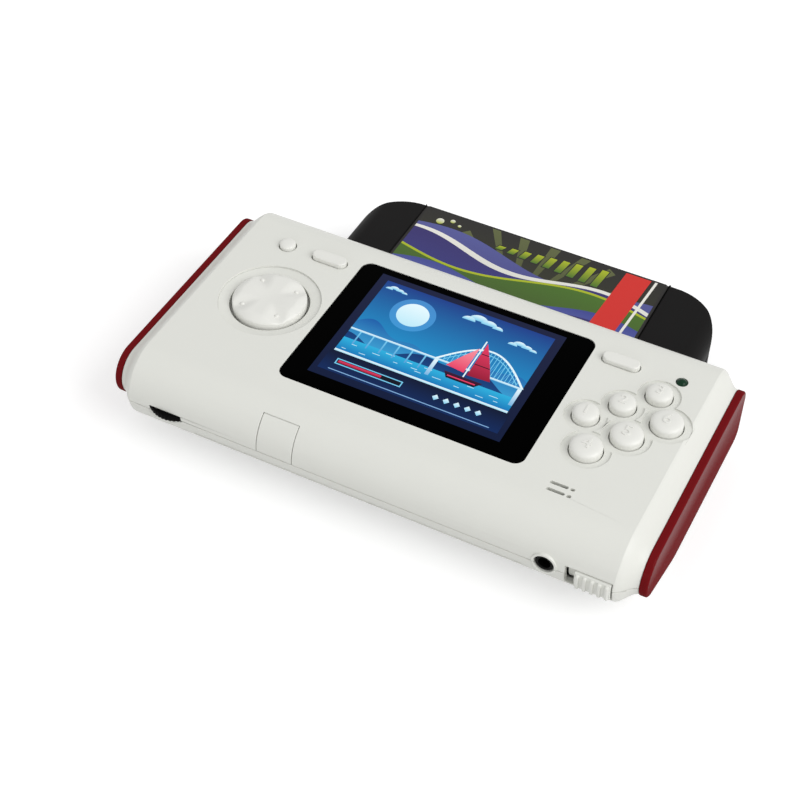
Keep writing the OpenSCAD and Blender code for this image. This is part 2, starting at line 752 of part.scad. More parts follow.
// Direction pad: dished disc with four lobes, pips between them, a flange and a socket for the pivot
module dpad() color(button_colour) translate([dpad_x, dpad_y, 0]) {
  top = case_h + dpad_rise;
  hollow = 0.9;
  rim = 1.4;
  crest_r = dpad_r * 0.72;
  pocket_r = dpad_r * 0.28;
  pocket_at = dpad_r * 0.76;
  pip_r = 0.8;
  flange_top_z = dpad_flange_z + dpad_flange_t;
  difference() {
    union() {
      rotate_extrude() polygon([[0, top - hollow], [crest_r * 0.55, top - hollow * 0.8], [crest_r, top],
        [dpad_r - rim / 3, top - rim * 0.65], [dpad_r, top - rim], [dpad_r, flange_top_z],
        [0, flange_top_z]]);
      translate([0, 0, dpad_flange_z]) cylinder(r = dpad_flange_r, h = dpad_flange_t + eps);
      translate([0, 0, pivot_z]) cylinder(r = dpad_hub_r, h = dpad_flange_z - pivot_z + eps);
    }
    translate([0, 0, pivot_z]) sphere(pivot_r + gap);
    for (a = [45 : 90 : 315]) rotate(a) translate([pocket_at, 0, top - rim])
      cylinder(r = pocket_r, h = rim + cut);
  }
  for (a = [45 : 90 : 315]) rotate(a) translate([pocket_at, 0, top - rim]) sphere(pip_r);
}

module dpad_pivot() color(metal_colour) translate([dpad_x, dpad_y, pivot_z]) sphere(pivot_r);

module dome(x, y, r, top) translate([x, y, board_top + sheet_t - eps])
  cylinder(r1 = r, r2 = r * 0.7, h = top - board_top - sheet_t + eps);

module dpad_membrane() color(rubber_colour) {
  top = dpad_flange_z - rest_gap;
  dome_r = 2.6;
  dome_at = dpad_r * 0.75;
  difference() {
    translate([dpad_x, dpad_y, board_top]) cylinder(r = dpad_flange_r, h = sheet_t);
    translate([dpad_x, dpad_y, board_top - cut]) cylinder(r = dpad_hub_r + 2 * gap, h = sheet_t + 2 * cut);
  }
  for (a = [0 : 90 : 270]) dome(dpad_x + dome_at * cos(a), dpad_y + dome_at * sin(a), dome_r, top);
}

// Round buttons: crowned cap, retaining flange and stem
module cap(r, rise, travel) {
  edge = 0.7;
  crown = 0.5;
  top = case_h + rise;
  side_z = top - crown - edge;
  stem_z = dome_top(travel) + rest_gap;
  round_edge = [for (a = [0 : 22.5 : 90]) [r - edge * (1 - cos(a)), side_z + edge * sin(a)]];
  rotate_extrude() polygon(concat([[0, flange_z], [r, flange_z]], round_edge,
    [[r * 0.5, top - crown * 0.25], [0, top]]));
  translate([0, 0, flange_z]) cylinder(r = r + button_flange, h = button_flange_t);
  translate([0, 0, stem_z]) cylinder(r = r * 0.55, h = flange_top - stem_z);
}

module face_button(k) color(button_colour) translate([buttons[k][0], buttons[k][1], 0])
  cap(buttons[k][2], button_rise, button_travel);

module button_a() face_button(0);

module button_b() face_button(1);

module button_c() face_button(2);

module button_x() face_button(3);

module button_y() face_button(4);

module button_z() face_button(5);

module button_membrane() color(rubber_colour) {
  for (b = buttons) {
    translate([b[0], b[1], board_top]) cylinder(r = b[2] + button_flange, h = sheet_t);
    dome(b[0], b[1], b[2] * 0.75, dome_top(button_travel));
  }
  for (k = [0, 1, 3, 4]) link(buttons[k], buttons[k + 1]);
  for (k = [0 : 2]) link(buttons[k], buttons[k + 3]);
}

// Strip of rubber between two domes
module link(p, q) let (d = [q[0] - p[0], q[1] - p[1]], half = 1.5)
  translate([p[0], p[1], board_top]) rotate(atan2(d[1], d[0])) translate([0, -half, 0])
    cube([norm(d), 2 * half, sheet_t]);

// Small buttons
pill_lip = 0.9;
pill_stem_r = 1.6;
pill_dome_r = 2.4;
module pill_button() {
  stem_z = dome_top(pill_travel) + rest_gap;
  at_z(flange_z, case_h + pill_rise) pill(pill_l, pill_w);
  at_z(flange_z, flange_top) pill(pill_l + 2 * pill_lip, pill_w + 2 * pill_lip);
  translate([0, 0, stem_z]) cylinder(r = pill_stem_r, h = flange_top - stem_z);
}

module start_button() color(button_colour) translate([start_x, pill_y, 0]) pill_button();

module menu_button() color(button_colour) translate([menu_x, pill_y, 0]) pill_button();

module reset_button() color(button_colour) translate([reset_x, pill_y, 0])
  cap(reset_r, pill_rise, pill_travel);

// Rubber strip that carries the domes of small buttons at the given places
module small_membrane(places) color(rubber_colour) {
  edge = 0.4;
  half = pill_dome_r + edge;
  block(min(places) - half, max(places) + half, pill_y - half, pill_y + half, board_top, board_top + sheet_t);
  for (x = places) dome(x, pill_y, pill_dome_r, dome_top(pill_travel));
}

module start_membrane() small_membrane([start_x]);

module menu_membrane() small_membrane([reset_x, menu_x]);

module power_led() color([0.05, 0.2, 0.1]) translate([led_x, led_y, 0]) {
  base_drop = 2.4;
  base_z = top_in - base_drop;
  base_t = 1;
  base_lip = 0.5;
  leg_r = 0.25;
  dome_drop = 1;
  translate([0, 0, base_z]) cylinder(r = led_r, h = case_h - base_z);
  translate([0, 0, base_z]) cylinder(r = led_r + base_lip, h = base_t);
  intersection() {
    translate([0, 0, case_h - dome_drop]) sphere(led_r + base_lip / 3);
    translate([0, 0, case_h - eps]) cylinder(r = led_r, h = led_r);
  }
  for (s = [-1, 1]) translate([s * led_r / 2, 0, board_top])
    cylinder(r = leg_r, h = base_z - board_top + eps);
}

// Sound
module speaker() color(metal_colour) translate([speaker_x, speaker_y, board_top]) {
  cone_d = 0.7;
  rim = 1;
  difference() {
    cylinder(r = speaker_r, h = speaker_t);
    translate([0, 0, speaker_t - cone_d]) cylinder(r = speaker_r - rim, h = cone_d + cut);
  }
  translate([0, 0, speaker_t - cone_d - eps]) cylinder(r = speaker_r * 0.4, h = cone_d / 2);
}

module speaker_gasket() color(dark_colour) translate([speaker_x, speaker_y, board_top + speaker_t]) {
  h = inner_h - speaker_t - rest_gap;
  ring = 1;
  r = speaker_r - rest_gap;
  difference() {
    cylinder(r = r, h = h);
    translate([0, 0, -cut]) cylinder(r = r - ring, h = h + 2 * cut);
  }
}

module headphone_jack() color(dark_colour) difference() {
  sleeve_l = 5;
  overlap = 0.6;
  end_wall = 1;
  y0 = jack_face_y + sleeve_l - overlap;
  y1 = jack_face_y + jack_bore_l + end_wall;
  half = jack_body_w / 2;
  union() {
    translate([jack_x, jack_face_y, jack_z]) rotate([-90, 0, 0]) cylinder(r = jack_r, h = sleeve_l);
    block(jack_x - half, jack_x + half, y0, y1, jack_z - jack_r - gap, board_z);
  }
  translate([jack_x, jack_face_y - cut, jack_z]) rotate([-90, 0, 0])
    cylinder(r = jack_bore_r, h = jack_bore_l + cut);
}

// Power switch: sliding cap in the front edge and the switch that it moves
lever_half = 1;
lever_set = 1;
lever_bite = 1.2;
switch_set = 2.8;
lever_y = front_y + wall + lever_set;
switch_y = front_y + wall + switch_set;
module power_slider() color(shell_colour) {
  z0 = switch_z + gap;
  z1 = switch_z + switch_h - gap;
  ridge_n = 5;
  ridge_w = 1;
  ridge_out = 0.7;
  end_gap = 0.5;
  flange_t = 1;
  x_mid = (switch_x0 + switch_x1) / 2;
  ridge_step = (switch_w - 2 * end_gap - ridge_w) / (ridge_n - 1);
  nose_band(switch_x0, switch_x1, -switch_out, wall + gap + eps, z0, z1);
  for (k = [0 : ridge_n - 1]) let (x = switch_x0 + end_gap + k * ridge_step)
    nose_band(x, x + ridge_w, -switch_out - ridge_out, -switch_out + ridge_out, z0 + end_gap, z1 - end_gap);
  nose_band(switch_x0 - switch_travel, switch_x1 + rest_gap, wall + gap, wall + gap + flange_t,
            switch_z - end_gap, switch_z + switch_h + fit);
  block(x_mid - lever_half, x_mid + lever_half, lever_y, switch_y + lever_bite,
        nose_z - lever_half, nose_z + lever_half);
}

module power_switch() color(metal_colour) {
  half = 4.6;
  depth = 5;
  drop = 3.4;
  recess = 2;
  x_mid = (switch_x0 + switch_x1 - switch_travel) / 2;
  reach = lever_half + gap + switch_travel / 2;
  difference() {
    block(x_mid - half, x_mid + half, switch_y, switch_y + depth, nose_z - drop, board_z);
    block(x_mid - reach, x_mid + reach, switch_y - cut, switch_y + recess,
          nose_z - lever_half - gap, nose_z + lever_half + gap);
  }
}

// Volume control
pot_r = 5;
module volume_wheel() color(dark_colour) translate([wheel_x, wheel_y, 0]) difference() {
  notch_r = 0.3;
  notch_step = 8;
  translate([0, 0, wheel_z]) cylinder(r = wheel_r, h = wheel_t);
  translate([0, 0, wheel_z - cut]) cylinder(r = wheel_shaft_r + wheel_fit, h = wheel_t + 2 * cut);
  for (a = [0 : notch_step : 359]) rotate(a) translate([wheel_r + notch_r / 3, 0, wheel_z - cut])
    cylinder(r = notch_r, h = wheel_t + 2 * cut);
}

module volume_screw() color(metal_colour) let (t = 0.8, r = 2.4)
  translate([wheel_x, wheel_y, wheel_z - gap - t]) cylinder(r = r, h = t);

module volume_pot() color(metal_colour) translate([wheel_x, wheel_y, 0]) {
  body_z = wheel_z + wheel_t + gap;
  translate([0, 0, wheel_z - gap]) cylinder(r = wheel_shaft_r, h = wheel_t + 2 * gap + eps);
  translate([0, 0, body_z]) cylinder(r = pot_r, h = board_z - body_z);
}

// Blank cover that follows the curve of the front edge, with two clips behind the wall
module port_cover() color(shell_colour) {
  clip_w = 2.5;
  clip_out = 1;
  clip_t = 1;
  clip_h = 4;
  clip_up = 3;
  neck_w = 1.2;
  z0 = seam_z + clip_up;
  z1 = z0 + clip_h;
  nose_band(port_x, port_x + port_w, 0, port_t, seam_z + seam_gap / 2, port_top);
  for (x = [port_x - clip_out, port_x + port_w + clip_out - clip_w])
    nose_band(x, x + clip_w, wall + rest_gap, wall + rest_gap + clip_t, z0, z1);
  for (x = [port_x + rest_gap, port_x + port_w - rest_gap - neck_w])
    nose_band(x, x + neck_w, port_t - rest_gap, wall + rest_gap + clip_t / 2, z0, z1);
}

// Charging port: sheet-metal socket with a tongue inside, on two legs down from the board
module charging_port() color(metal_colour) {
  tongue_t = 0.8;
  tongue_w = 3.8;
  leg_w = 1;
  y0 = back_y - charge_l;
  difference() {
    along_y(y0, back_y - gap) translate([charge_x, charge_z]) square([charge_w, charge_h], center = true);
    along_y(y0 + leg_w, back_y) translate([charge_x, charge_z]) difference() {
      square([charge_w - 2 * charge_sheet, charge_h - 2 * charge_sheet], center = true);
      square([tongue_w, tongue_t], center = true);
    }
  }
  for (s = [-1, 1]) let (x = charge_x + s * tongue_w / 2)
    block(x - leg_w / 2, x + leg_w / 2, y0, y0 + leg_w, charge_z, board_z);
}

// Connector: a body below the board and a nose that reaches into the cartridge's mouth
module cartridge_connector() color([0.15, 0.15, 0.16]) difference() {
  mouth_clear = 0.7;
  side_clear = 1;
  mate_gap = 0.5;
  half_h = mouth_h / 2 - mouth_clear;
  half_w = mouth_w / 2 - side_clear;
  slot_half = cart_board_w / 2 + gap;
  y1 = cart_y0 - mate_gap;
  nose_y1 = cart_y0 + connector_reach;
  union() {
    block(cart_x - connector_w / 2, cart_x + connector_w / 2, connector_y, y1, cart_mid - half_h, board_z);
    block(cart_x - half_w, cart_x + half_w, y1 - eps, nose_y1, cart_mid - half_h, cart_mid + half_h);
  }
  block(cart_x - slot_half, cart_x + slot_half, connector_y - cut, nose_y1 + cut,
        cart_mid - connector_slot, cart_mid + connector_slot);
}

// Two rows of contacts, each with a tail that rises behind the connector to the board
module connector_pins() color([0.85, 0.7, 0.3]) {
  half = 0.5;
  tail_t = 0.5;
  tail_gap = 0.9;
  short = 1;
  for (k = [0 : pin_count - 1], s = [-1, 1])
    let (x = cart_x + (k - (pin_count - 1) / 2) * pin_pitch,
         z = cart_mid + s * (cart_board_t / 2 + rest_gap + pin_t / 2),
         tail_y = connector_y - tail_gap - (1 - s) * tail_t) {
      block(x - half, x + half, tail_y, cart_y0 + connector_reach - short, z - pin_t / 2, z + pin_t / 2);
      block(x - half, x + half, tail_y, tail_y + tail_t, z - pin_t / 2, board_z);
    }
}

// Cartridge
module cart_solid(inset) intersection() {
  along_y(cart_y0, cart_y1 - inset) translate([cart_x, cart_mid])
    rounded(cart_w - 2 * inset, cart_t - 2 * inset, cart_side_r - inset);
  at_z(cart_z, cart_top) let (w = cart_w - 2 * inset, y1 = cart_y1 - inset, r = cart_corner_r - inset) {
    translate([cart_x - w / 2, cart_y0]) square([w, y1 - r - cart_y0]);
    translate([cart_x - w / 2 + r, cart_y0]) square([w - 2 * r, y1 - cart_y0]);
    for (s = [-1, 1]) translate([cart_x + s * (w / 2 - r), y1 - r]) circle(r);
  }
}

// Both halves in one: outer skin with the mouth, the screw post and the ribs that hold the board
module cart_shell(boss) {
  difference() {
    cart_solid(0);
    intersection() {
      cart_solid(cart_wall);
      block(cart_x - cart_w, cart_x + cart_w, cart_y0 + cart_wall, cart_y1, cart_z, cart_top);
    }
    along_y(cart_y0 - cut, cart_y0 + cart_wall + cut) translate([cart_x, cart_mid])
      square([mouth_w, mouth_h], center = true);
  }
  translate([cart_x, cart_screw_y, cart_z + cart_wall / 2]) cylinder(r = boss, h = cart_t - cart_wall);
  cart_ribs();
}

module cart_ribs() {
  t = 1.5;
  behind = 5;
  y0 = cart_y0 + connector_reach + behind;
  y1 = cart_y0 + cart_board_l;
  low = cart_board_t / 2 + fit;
  high = (cart_t - cart_wall) / 2;
  for (x = [-1, 1] * cart_board_w / 3, s = [-1, 1])
    translate([cart_x + x, (y0 + y1) / 2, cart_mid + s * (low + high) / 2])
      cube([t, y1 - y0, high - low], center = true);
}

module cart_half(z0, z1) block(cart_x - cart_w, cart_x + cart_w, cart_y0 - cut, cart_y1 + cut, z0, z1);

module cartridge_upper_shell() color(cart_colour) difference() {
  cart_shell(head_boss_r);
  cart_half(cart_z - cut, cart_mid + cart_split / 2);
  translate([cart_x, cart_screw_y, cart_mid]) cylinder(r = screw_r + fit, h = cart_screw_bite + tip_gap);
  at_z(cart_top - label_t, cart_top + cut) translate([label_x, cart_y1 - label_l / 2])
    square([label_w + 2 * fit, label_l + 2 * fit], center = true);
}

module cartridge_lower_shell() color(cart_colour) difference() {
  cart_shell(head_boss_r + gap);
  cart_half(cart_mid - cart_split / 2, cart_top + cut);
  translate([cart_x, cart_screw_y, cart_z - cut]) {
    cylinder(r = screw_r + rest_gap, h = cart_t);
    cylinder(r = screw_head_r + gap, h = cart_head_z - cart_z + cut);
  }
}

module cartridge_board() color(board_colour)
  block(cart_x - cart_board_w / 2, cart_x + cart_board_w / 2, tongue_y, cart_y0 + cart_board_l,
        cart_mid - cart_board_t / 2, cart_mid + cart_board_t / 2);

module cartridge_screw() color(metal_colour) translate([cart_x, cart_screw_y, cart_head_z]) {
  translate([0, 0, -screw_head_t]) cylinder(r = screw_head_r, h = screw_head_t);
  cylinder(r = screw_r, h = cart_mid + cart_screw_bite - cart_head_z);
}

module cartridge_label() color([0.3, 0.3, 0.5]) at_z(cart_top - label_t, cart_top)
  translate([label_x, cart_y1 - label_l / 2]) square([label_w, label_l], center = true);

// Battery
module battery_pack() color([0.2, 0.25, 0.3]) let (corner_r = 2) at_z(battery_z0, battery_z1)
  translate([0, (battery_y0 + battery_y1) / 2]) rounded(battery_w, battery_y1 - battery_y0, corner_r);

// Three leaf springs from the board down to the battery
module battery_contacts() color([0.85, 0.7, 0.3]) {
  half = 1;
  t = 0.4;
  foot = 2.4;
  pitch = 8;
  set = 3;
  y = battery_y1 - set;
  z = battery_z1 + rest_gap;
  for (x = [-pitch, 0, pitch]) {
    block(x - half, x + half, y, y + t, z, board_z);
    block(x - half, x + half, y + t - foot, y + t, z, z + t);
  }
}

// Battery cover: bent plate with ribs under the battery, a screw boss and two tabs behind the front wall
module battery_cover() color(shell_colour) difference() {
  rib_half = 0.6;
  rib_set = 1;
  tab_half = 3;
  tab_x = battery_w / 4;
  tab_l = 2;
  tab_root = 1;
  tab_in = wall + rest_gap + 2 * tip_gap;
  union() {
    along_x(-hatch_half, hatch_half) intersection() {
      difference() {
        profile(0);
        profile(hatch_t);
      }
      translate([hatch_y0, -cut]) square([hatch_y1 - hatch_y0, battery_z1]);
    }
    for (x = [-battery_w / 3, battery_w / 3]) along_x(x - rib_half, x + rib_half) intersection() {
      profile(hatch_t - eps);
      translate([battery_y0 + rib_set, -cut])
        square([battery_y1 - battery_y0 - 2 * rib_set, battery_z0 - rest_gap + cut]);
    }
    for (x = [-tab_x, tab_x]) along_x(x - tab_half, x + tab_half) {
      foot_band(wall + rest_gap, tab_in, hatch_y0 - tab_l, hatch_y0 + tab_root);
      foot_band(hatch_t - eps, tab_in, hatch_y0, hatch_y0 + tab_root);
    }
    translate([0, hatch_screw_y, hatch_t - eps]) cylinder(r = head_boss_r, h = hatch_boss_h);
  }
  translate([0, hatch_screw_y, -cut]) {
    cylinder(r = screw_r + rest_gap, h = wall + hatch_boss_h + 2 * cut);
    cylinder(r = screw_head_r + gap, h = hatch_sink + hatch_head_t + cut);
  }
}

// Sketch of the lower wall between two insets and two distances from the front
module foot_band(outer, inner, y0, y1) intersection() {
  difference() {
    profile(outer);
    profile(inner);
  }
  translate([y0, 0]) square([y1 - y0, battery_z1]);
}

module battery_cover_screw() color(metal_colour) translate([0, hatch_screw_y, hatch_sink]) {
  cylinder(r = screw_head_r, h = hatch_head_t);
  cylinder(r = screw_r, h = hatch_screw_l);
}

module case_screws() color(metal_colour) for (b = bosses) translate([b[0], b[1], screw_head_z]) {
  translate([0, 0, -screw_head_t]) cylinder(r = screw_head_r, h = screw_head_t);
  cylinder(r = screw_r, h = seam_z + screw_bite - screw_head_z);
}

top_shell();
bottom_shell();
left_side_panel();
right_side_panel();
screen_window();
lcd_glass();
lcd_backlight();
lcd_pan();
lcd_cushions();
lcd_ribbon();
main_board();
main_chip();
memory_chips();
board_capacitors();
board_screws();
dpad();
dpad_pivot();
dpad_membrane();
button_a();
button_b();
button_c();
button_x();
button_y();
button_z();
button_membrane();
start_button();
menu_button();
reset_button();
start_membrane();
menu_membrane();
power_led();
speaker();
speaker_gasket();
headphone_jack();
power_switch();
power_slider();
volume_wheel();
volume_screw();
volume_pot();
port_cover();
charging_port();
cartridge_connector();
connector_pins();
cartridge_upper_shell();
cartridge_lower_shell();
cartridge_board();
cartridge_screw();
cartridge_label();
battery_pack();
battery_contacts();
battery_cover();
battery_cover_screw();
case_screws();
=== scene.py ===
import json
import math

import bmesh
import bpy
from mathutils import Matrix, Vector


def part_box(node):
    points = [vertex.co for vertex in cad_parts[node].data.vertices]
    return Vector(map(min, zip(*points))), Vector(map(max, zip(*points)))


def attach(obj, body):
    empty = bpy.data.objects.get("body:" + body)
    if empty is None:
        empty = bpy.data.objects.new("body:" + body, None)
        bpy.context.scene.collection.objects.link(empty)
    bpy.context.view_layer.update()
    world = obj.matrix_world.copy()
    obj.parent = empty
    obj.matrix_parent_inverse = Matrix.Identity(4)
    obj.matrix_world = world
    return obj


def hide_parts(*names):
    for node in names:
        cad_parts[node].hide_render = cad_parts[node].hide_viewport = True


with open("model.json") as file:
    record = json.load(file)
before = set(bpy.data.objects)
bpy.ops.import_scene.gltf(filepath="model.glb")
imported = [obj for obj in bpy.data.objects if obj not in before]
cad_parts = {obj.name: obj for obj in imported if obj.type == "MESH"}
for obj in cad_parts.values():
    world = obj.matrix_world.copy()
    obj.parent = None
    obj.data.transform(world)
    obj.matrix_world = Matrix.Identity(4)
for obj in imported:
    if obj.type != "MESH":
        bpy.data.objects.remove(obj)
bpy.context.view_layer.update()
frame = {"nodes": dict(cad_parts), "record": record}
nodes = frame["nodes"]
mm = 0.001
print("frame loaded:", len(nodes), "nodes")


def addObject(name, data):
    added = bpy.data.objects.new(name, data)
    bpy.context.scene.collection.objects.link(added)
    return added


# camera

shot = {
    "place": (0.14598, -0.31602, 0.36819),
    "aim": (-0.31295, 0.62494, -0.71520),
    "roll": -0.865,  # degrees
    "lens": 75.69, "sensor": 36,  # millimetres
    "clip": (0.01, 20),  # metres
}


def placeCamera(spec):
    aim = Vector(spec["aim"]).normalized()
    level = aim.cross(Vector((0, 0, 1))).normalized()
    plumb = aim.cross(level)
    turn = math.radians(spec["roll"])
    right = level * math.cos(turn) + plumb * math.sin(turn)
    down = plumb * math.cos(turn) - level * math.sin(turn)
    data = bpy.data.cameras.new("camera")
    data.lens = spec["lens"]
    data.sensor_width = spec["sensor"]
    data.clip_start, data.clip_end = spec["clip"]
    camera = addObject("camera", data)
    axes = Matrix((right, -down, -aim)).transposed()
    camera.matrix_world = Matrix.Translation(spec["place"]) @ axes.to_4x4()
    bpy.context.scene.camera = camera


placeCamera(shot)
bpy.context.scene.view_settings.view_transform = "Standard"

# studio

studio = {
    "world": 0.69,
    "floorSize": 6.0,
    "floorColour": (0.68, 0.68, 0.68),
    "floorLift": 0.46,  # what the camera and mirrors see on top
    "lamps": [  # name, place, aim, width, height, watts
        ("keyLamp", (2.1, -0.2, 1.75), (0, 0, 0), 1.9, 1.9, 40.0),
        ("frontLamp", (0.3, -2.3, 0.55), (0, 0, 0), 2.8, 0.8, 6.0),
    ],
}


def newMaterial(name):
    material = bpy.data.materials.new(name)
    material.use_nodes = True
    tree = material.node_tree
    tree.nodes.clear()
    output = tree.nodes.new("ShaderNodeOutputMaterial")
    return material, tree, output


def seenRays(tree):  # 1 for the camera, mirrors and glass
    path = tree.nodes.new("ShaderNodeLightPath")
    mirrors = tree.nodes.new("ShaderNodeMath")
    mirrors.operation = "MAXIMUM"
    tree.links.new(path.outputs["Is Camera Ray"], mirrors.inputs[0])
    tree.links.new(path.outputs["Is Glossy Ray"], mirrors.inputs[1])
    glass = tree.nodes.new("ShaderNodeMath")
    glass.operation = "MAXIMUM"
    tree.links.new(mirrors.outputs[0], glass.inputs[0])
    tree.links.new(path.outputs["Is Transmission Ray"], glass.inputs[1])
    return glass.outputs[0]


def buildWorld(spec):
    world = bpy.data.worlds.new("studio")
    world.use_nodes = True
    tree = world.node_tree
    tree.nodes.clear()
    output = tree.nodes.new("ShaderNodeOutputWorld")
    lit = tree.nodes.new("ShaderNodeBackground")
    lit.inputs["Strength"].default_value = spec["world"]
    lit.inputs["Color"].default_value = (1, 1, 1, 1)
    seen = tree.nodes.new("ShaderNodeBackground")
    seen.inputs["Color"].default_value = (1, 1, 1, 1)
    mix = tree.nodes.new("ShaderNodeMixShader")
    tree.links.new(seenRays(tree), mix.inputs[0])
    tree.links.new(lit.outputs[0], mix.inputs[1])
    tree.links.new(seen.outputs[0], mix.inputs[2])
    tree.links.new(mix.outputs[0], output.inputs["Surface"])
    bpy.context.scene.world = world


def buildFloor(spec):
    half = spec["floorSize"] / 2
    corners = [(-half, -half, 0), (half, -half, 0), (half, half, 0), (-half, half, 0)]
    mesh = bpy.data.meshes.new("floor")
    mesh.from_pydata(corners, [], [(0, 1, 2, 3)])
    floor = addObject("floor", mesh)
    material, tree, output = newMaterial("paleFloor")
    matt = tree.nodes.new("ShaderNodeBsdfDiffuse")
    matt.inputs["Color"].default_value = (*spec["floorColour"], 1)
    lift = tree.nodes.new("ShaderNodeEmission")
    scale = tree.nodes.new("ShaderNodeMath")
    scale.operation = "MULTIPLY"
    scale.inputs[1].default_value = spec["floorLift"]
    tree.links.new(seenRays(tree), scale.inputs[0])
    tree.links.new(scale.outputs[0], lift.inputs["Strength"])
    both = tree.nodes.new("ShaderNodeAddShader")
    tree.links.new(matt.outputs[0], both.inputs[0])
    tree.links.new(lift.outputs[0], both.inputs[1])
    tree.links.new(both.outputs[0], output.inputs["Surface"])
    mesh.materials.append(material)


def hangLamps(spec):
    for name, place, aim, width, height, watts in spec["lamps"]:
        data = bpy.data.lights.new(name, "AREA")
        data.shape = "RECTANGLE"
        data.size, data.size_y, data.energy = width, height, watts
        lamp = addObject(name, data)
        lamp.location = place
        lamp.rotation_euler = (Vector(aim) - Vector(place)).to_track_quat("-Z", "Y").to_euler()


buildWorld(studio)
buildFloor(studio)
hangLamps(studio)
print("studio ready")

# finishes

texture = {
    "broadDetail": 3, "fineDetail": 2,  # of the faint unevenness and of the mould texture
    "roughSpread": 0.12,  # how far the roughness strays either way, as a share
}
glow = {"base": (0.002, 0.002, 0.002, 1), "roughness": 0.08, "specular": 0.05, "strength": 1.0}
recipes = {
    "shellPlastic": dict(colour=(0.72, 0.725, 0.68), roughness=0.42, grain=0.25, depth=0.006, mottle=0.01,
                         Specular_IOR_Level=0.35),
    "keyPlastic": dict(colour=(0.75, 0.75, 0.71), roughness=0.33, grain=0.3, depth=0.003, mottle=0.008,
                       Specular_IOR_Level=0.4),
    # the red panel's clear coat is a painted sheen, weighted by a mesh layer towards the top of the outer face
    "redPanel": dict(colour=(0.15, 0.006, 0.008), roughness=0.3, grain=0.4, depth=0.002, mottle=0.05,
                     paintedSheenCoat=(0.05, 0.35), Specular_IOR_Level=0.0, Coat_Weight=0.12, Coat_Roughness=0.12),
    "windowBlack": dict(colour=(0.0004, 0.0004, 0.0004), roughness=0.06, depth=0.0003, mottle=0.05,
                        Specular_IOR_Level=0.004),
    "cartBlack": dict(colour=(0.006, 0.0056, 0.0056), roughness=0.5, grain=0.3, depth=0.02, mottle=0.06,
                      Specular_IOR_Level=0.07),
    "labelPrint": dict(colour=(1, 1, 1), roughness=0.35, grain=0.12, depth=0.002, mottle=0.03,
                       printed="inks", Specular_IOR_Level=0.2),
    "jackBlack": dict(colour=(0.003, 0.003, 0.003), roughness=0.3, Specular_IOR_Level=0.06),
    "wheelBlack": dict(colour=(0.002, 0.002, 0.002), roughness=0.5, Specular_IOR_Level=0.03),
    "ledGreen": dict(colour=(0.0005, 0.028, 0.01), roughness=0.08, depth=0.0005, Specular_IOR_Level=0.16),
    "plated": dict(colour=(0.6, 0.6, 0.62), roughness=0.3, Metallic=1.0),
    "gilt": dict(colour=(0.75, 0.52, 0.2), roughness=0.3, Metallic=1.0),
    "greyRubber": dict(colour=(0.2, 0.21, 0.23), roughness=0.75),
    "amberFilm": dict(colour=(0.5, 0.24, 0.03), roughness=0.25),
    "boardGreen": dict(colour=(0.01, 0.12, 0.04), roughness=0.35),
    "chipBlack": dict(colour=(0.015, 0.015, 0.016), roughness=0.55),
    "canMetal": dict(colour=(0.5, 0.5, 0.52), roughness=0.35, Metallic=1.0),
    "diffuser": dict(colour=(0.85, 0.85, 0.85), roughness=0.6),
    "speakerBlack": dict(colour=(0.03, 0.03, 0.03), roughness=0.5),
    "cellWrap": dict(colour=(0.12, 0.13, 0.15), roughness=0.4),
}


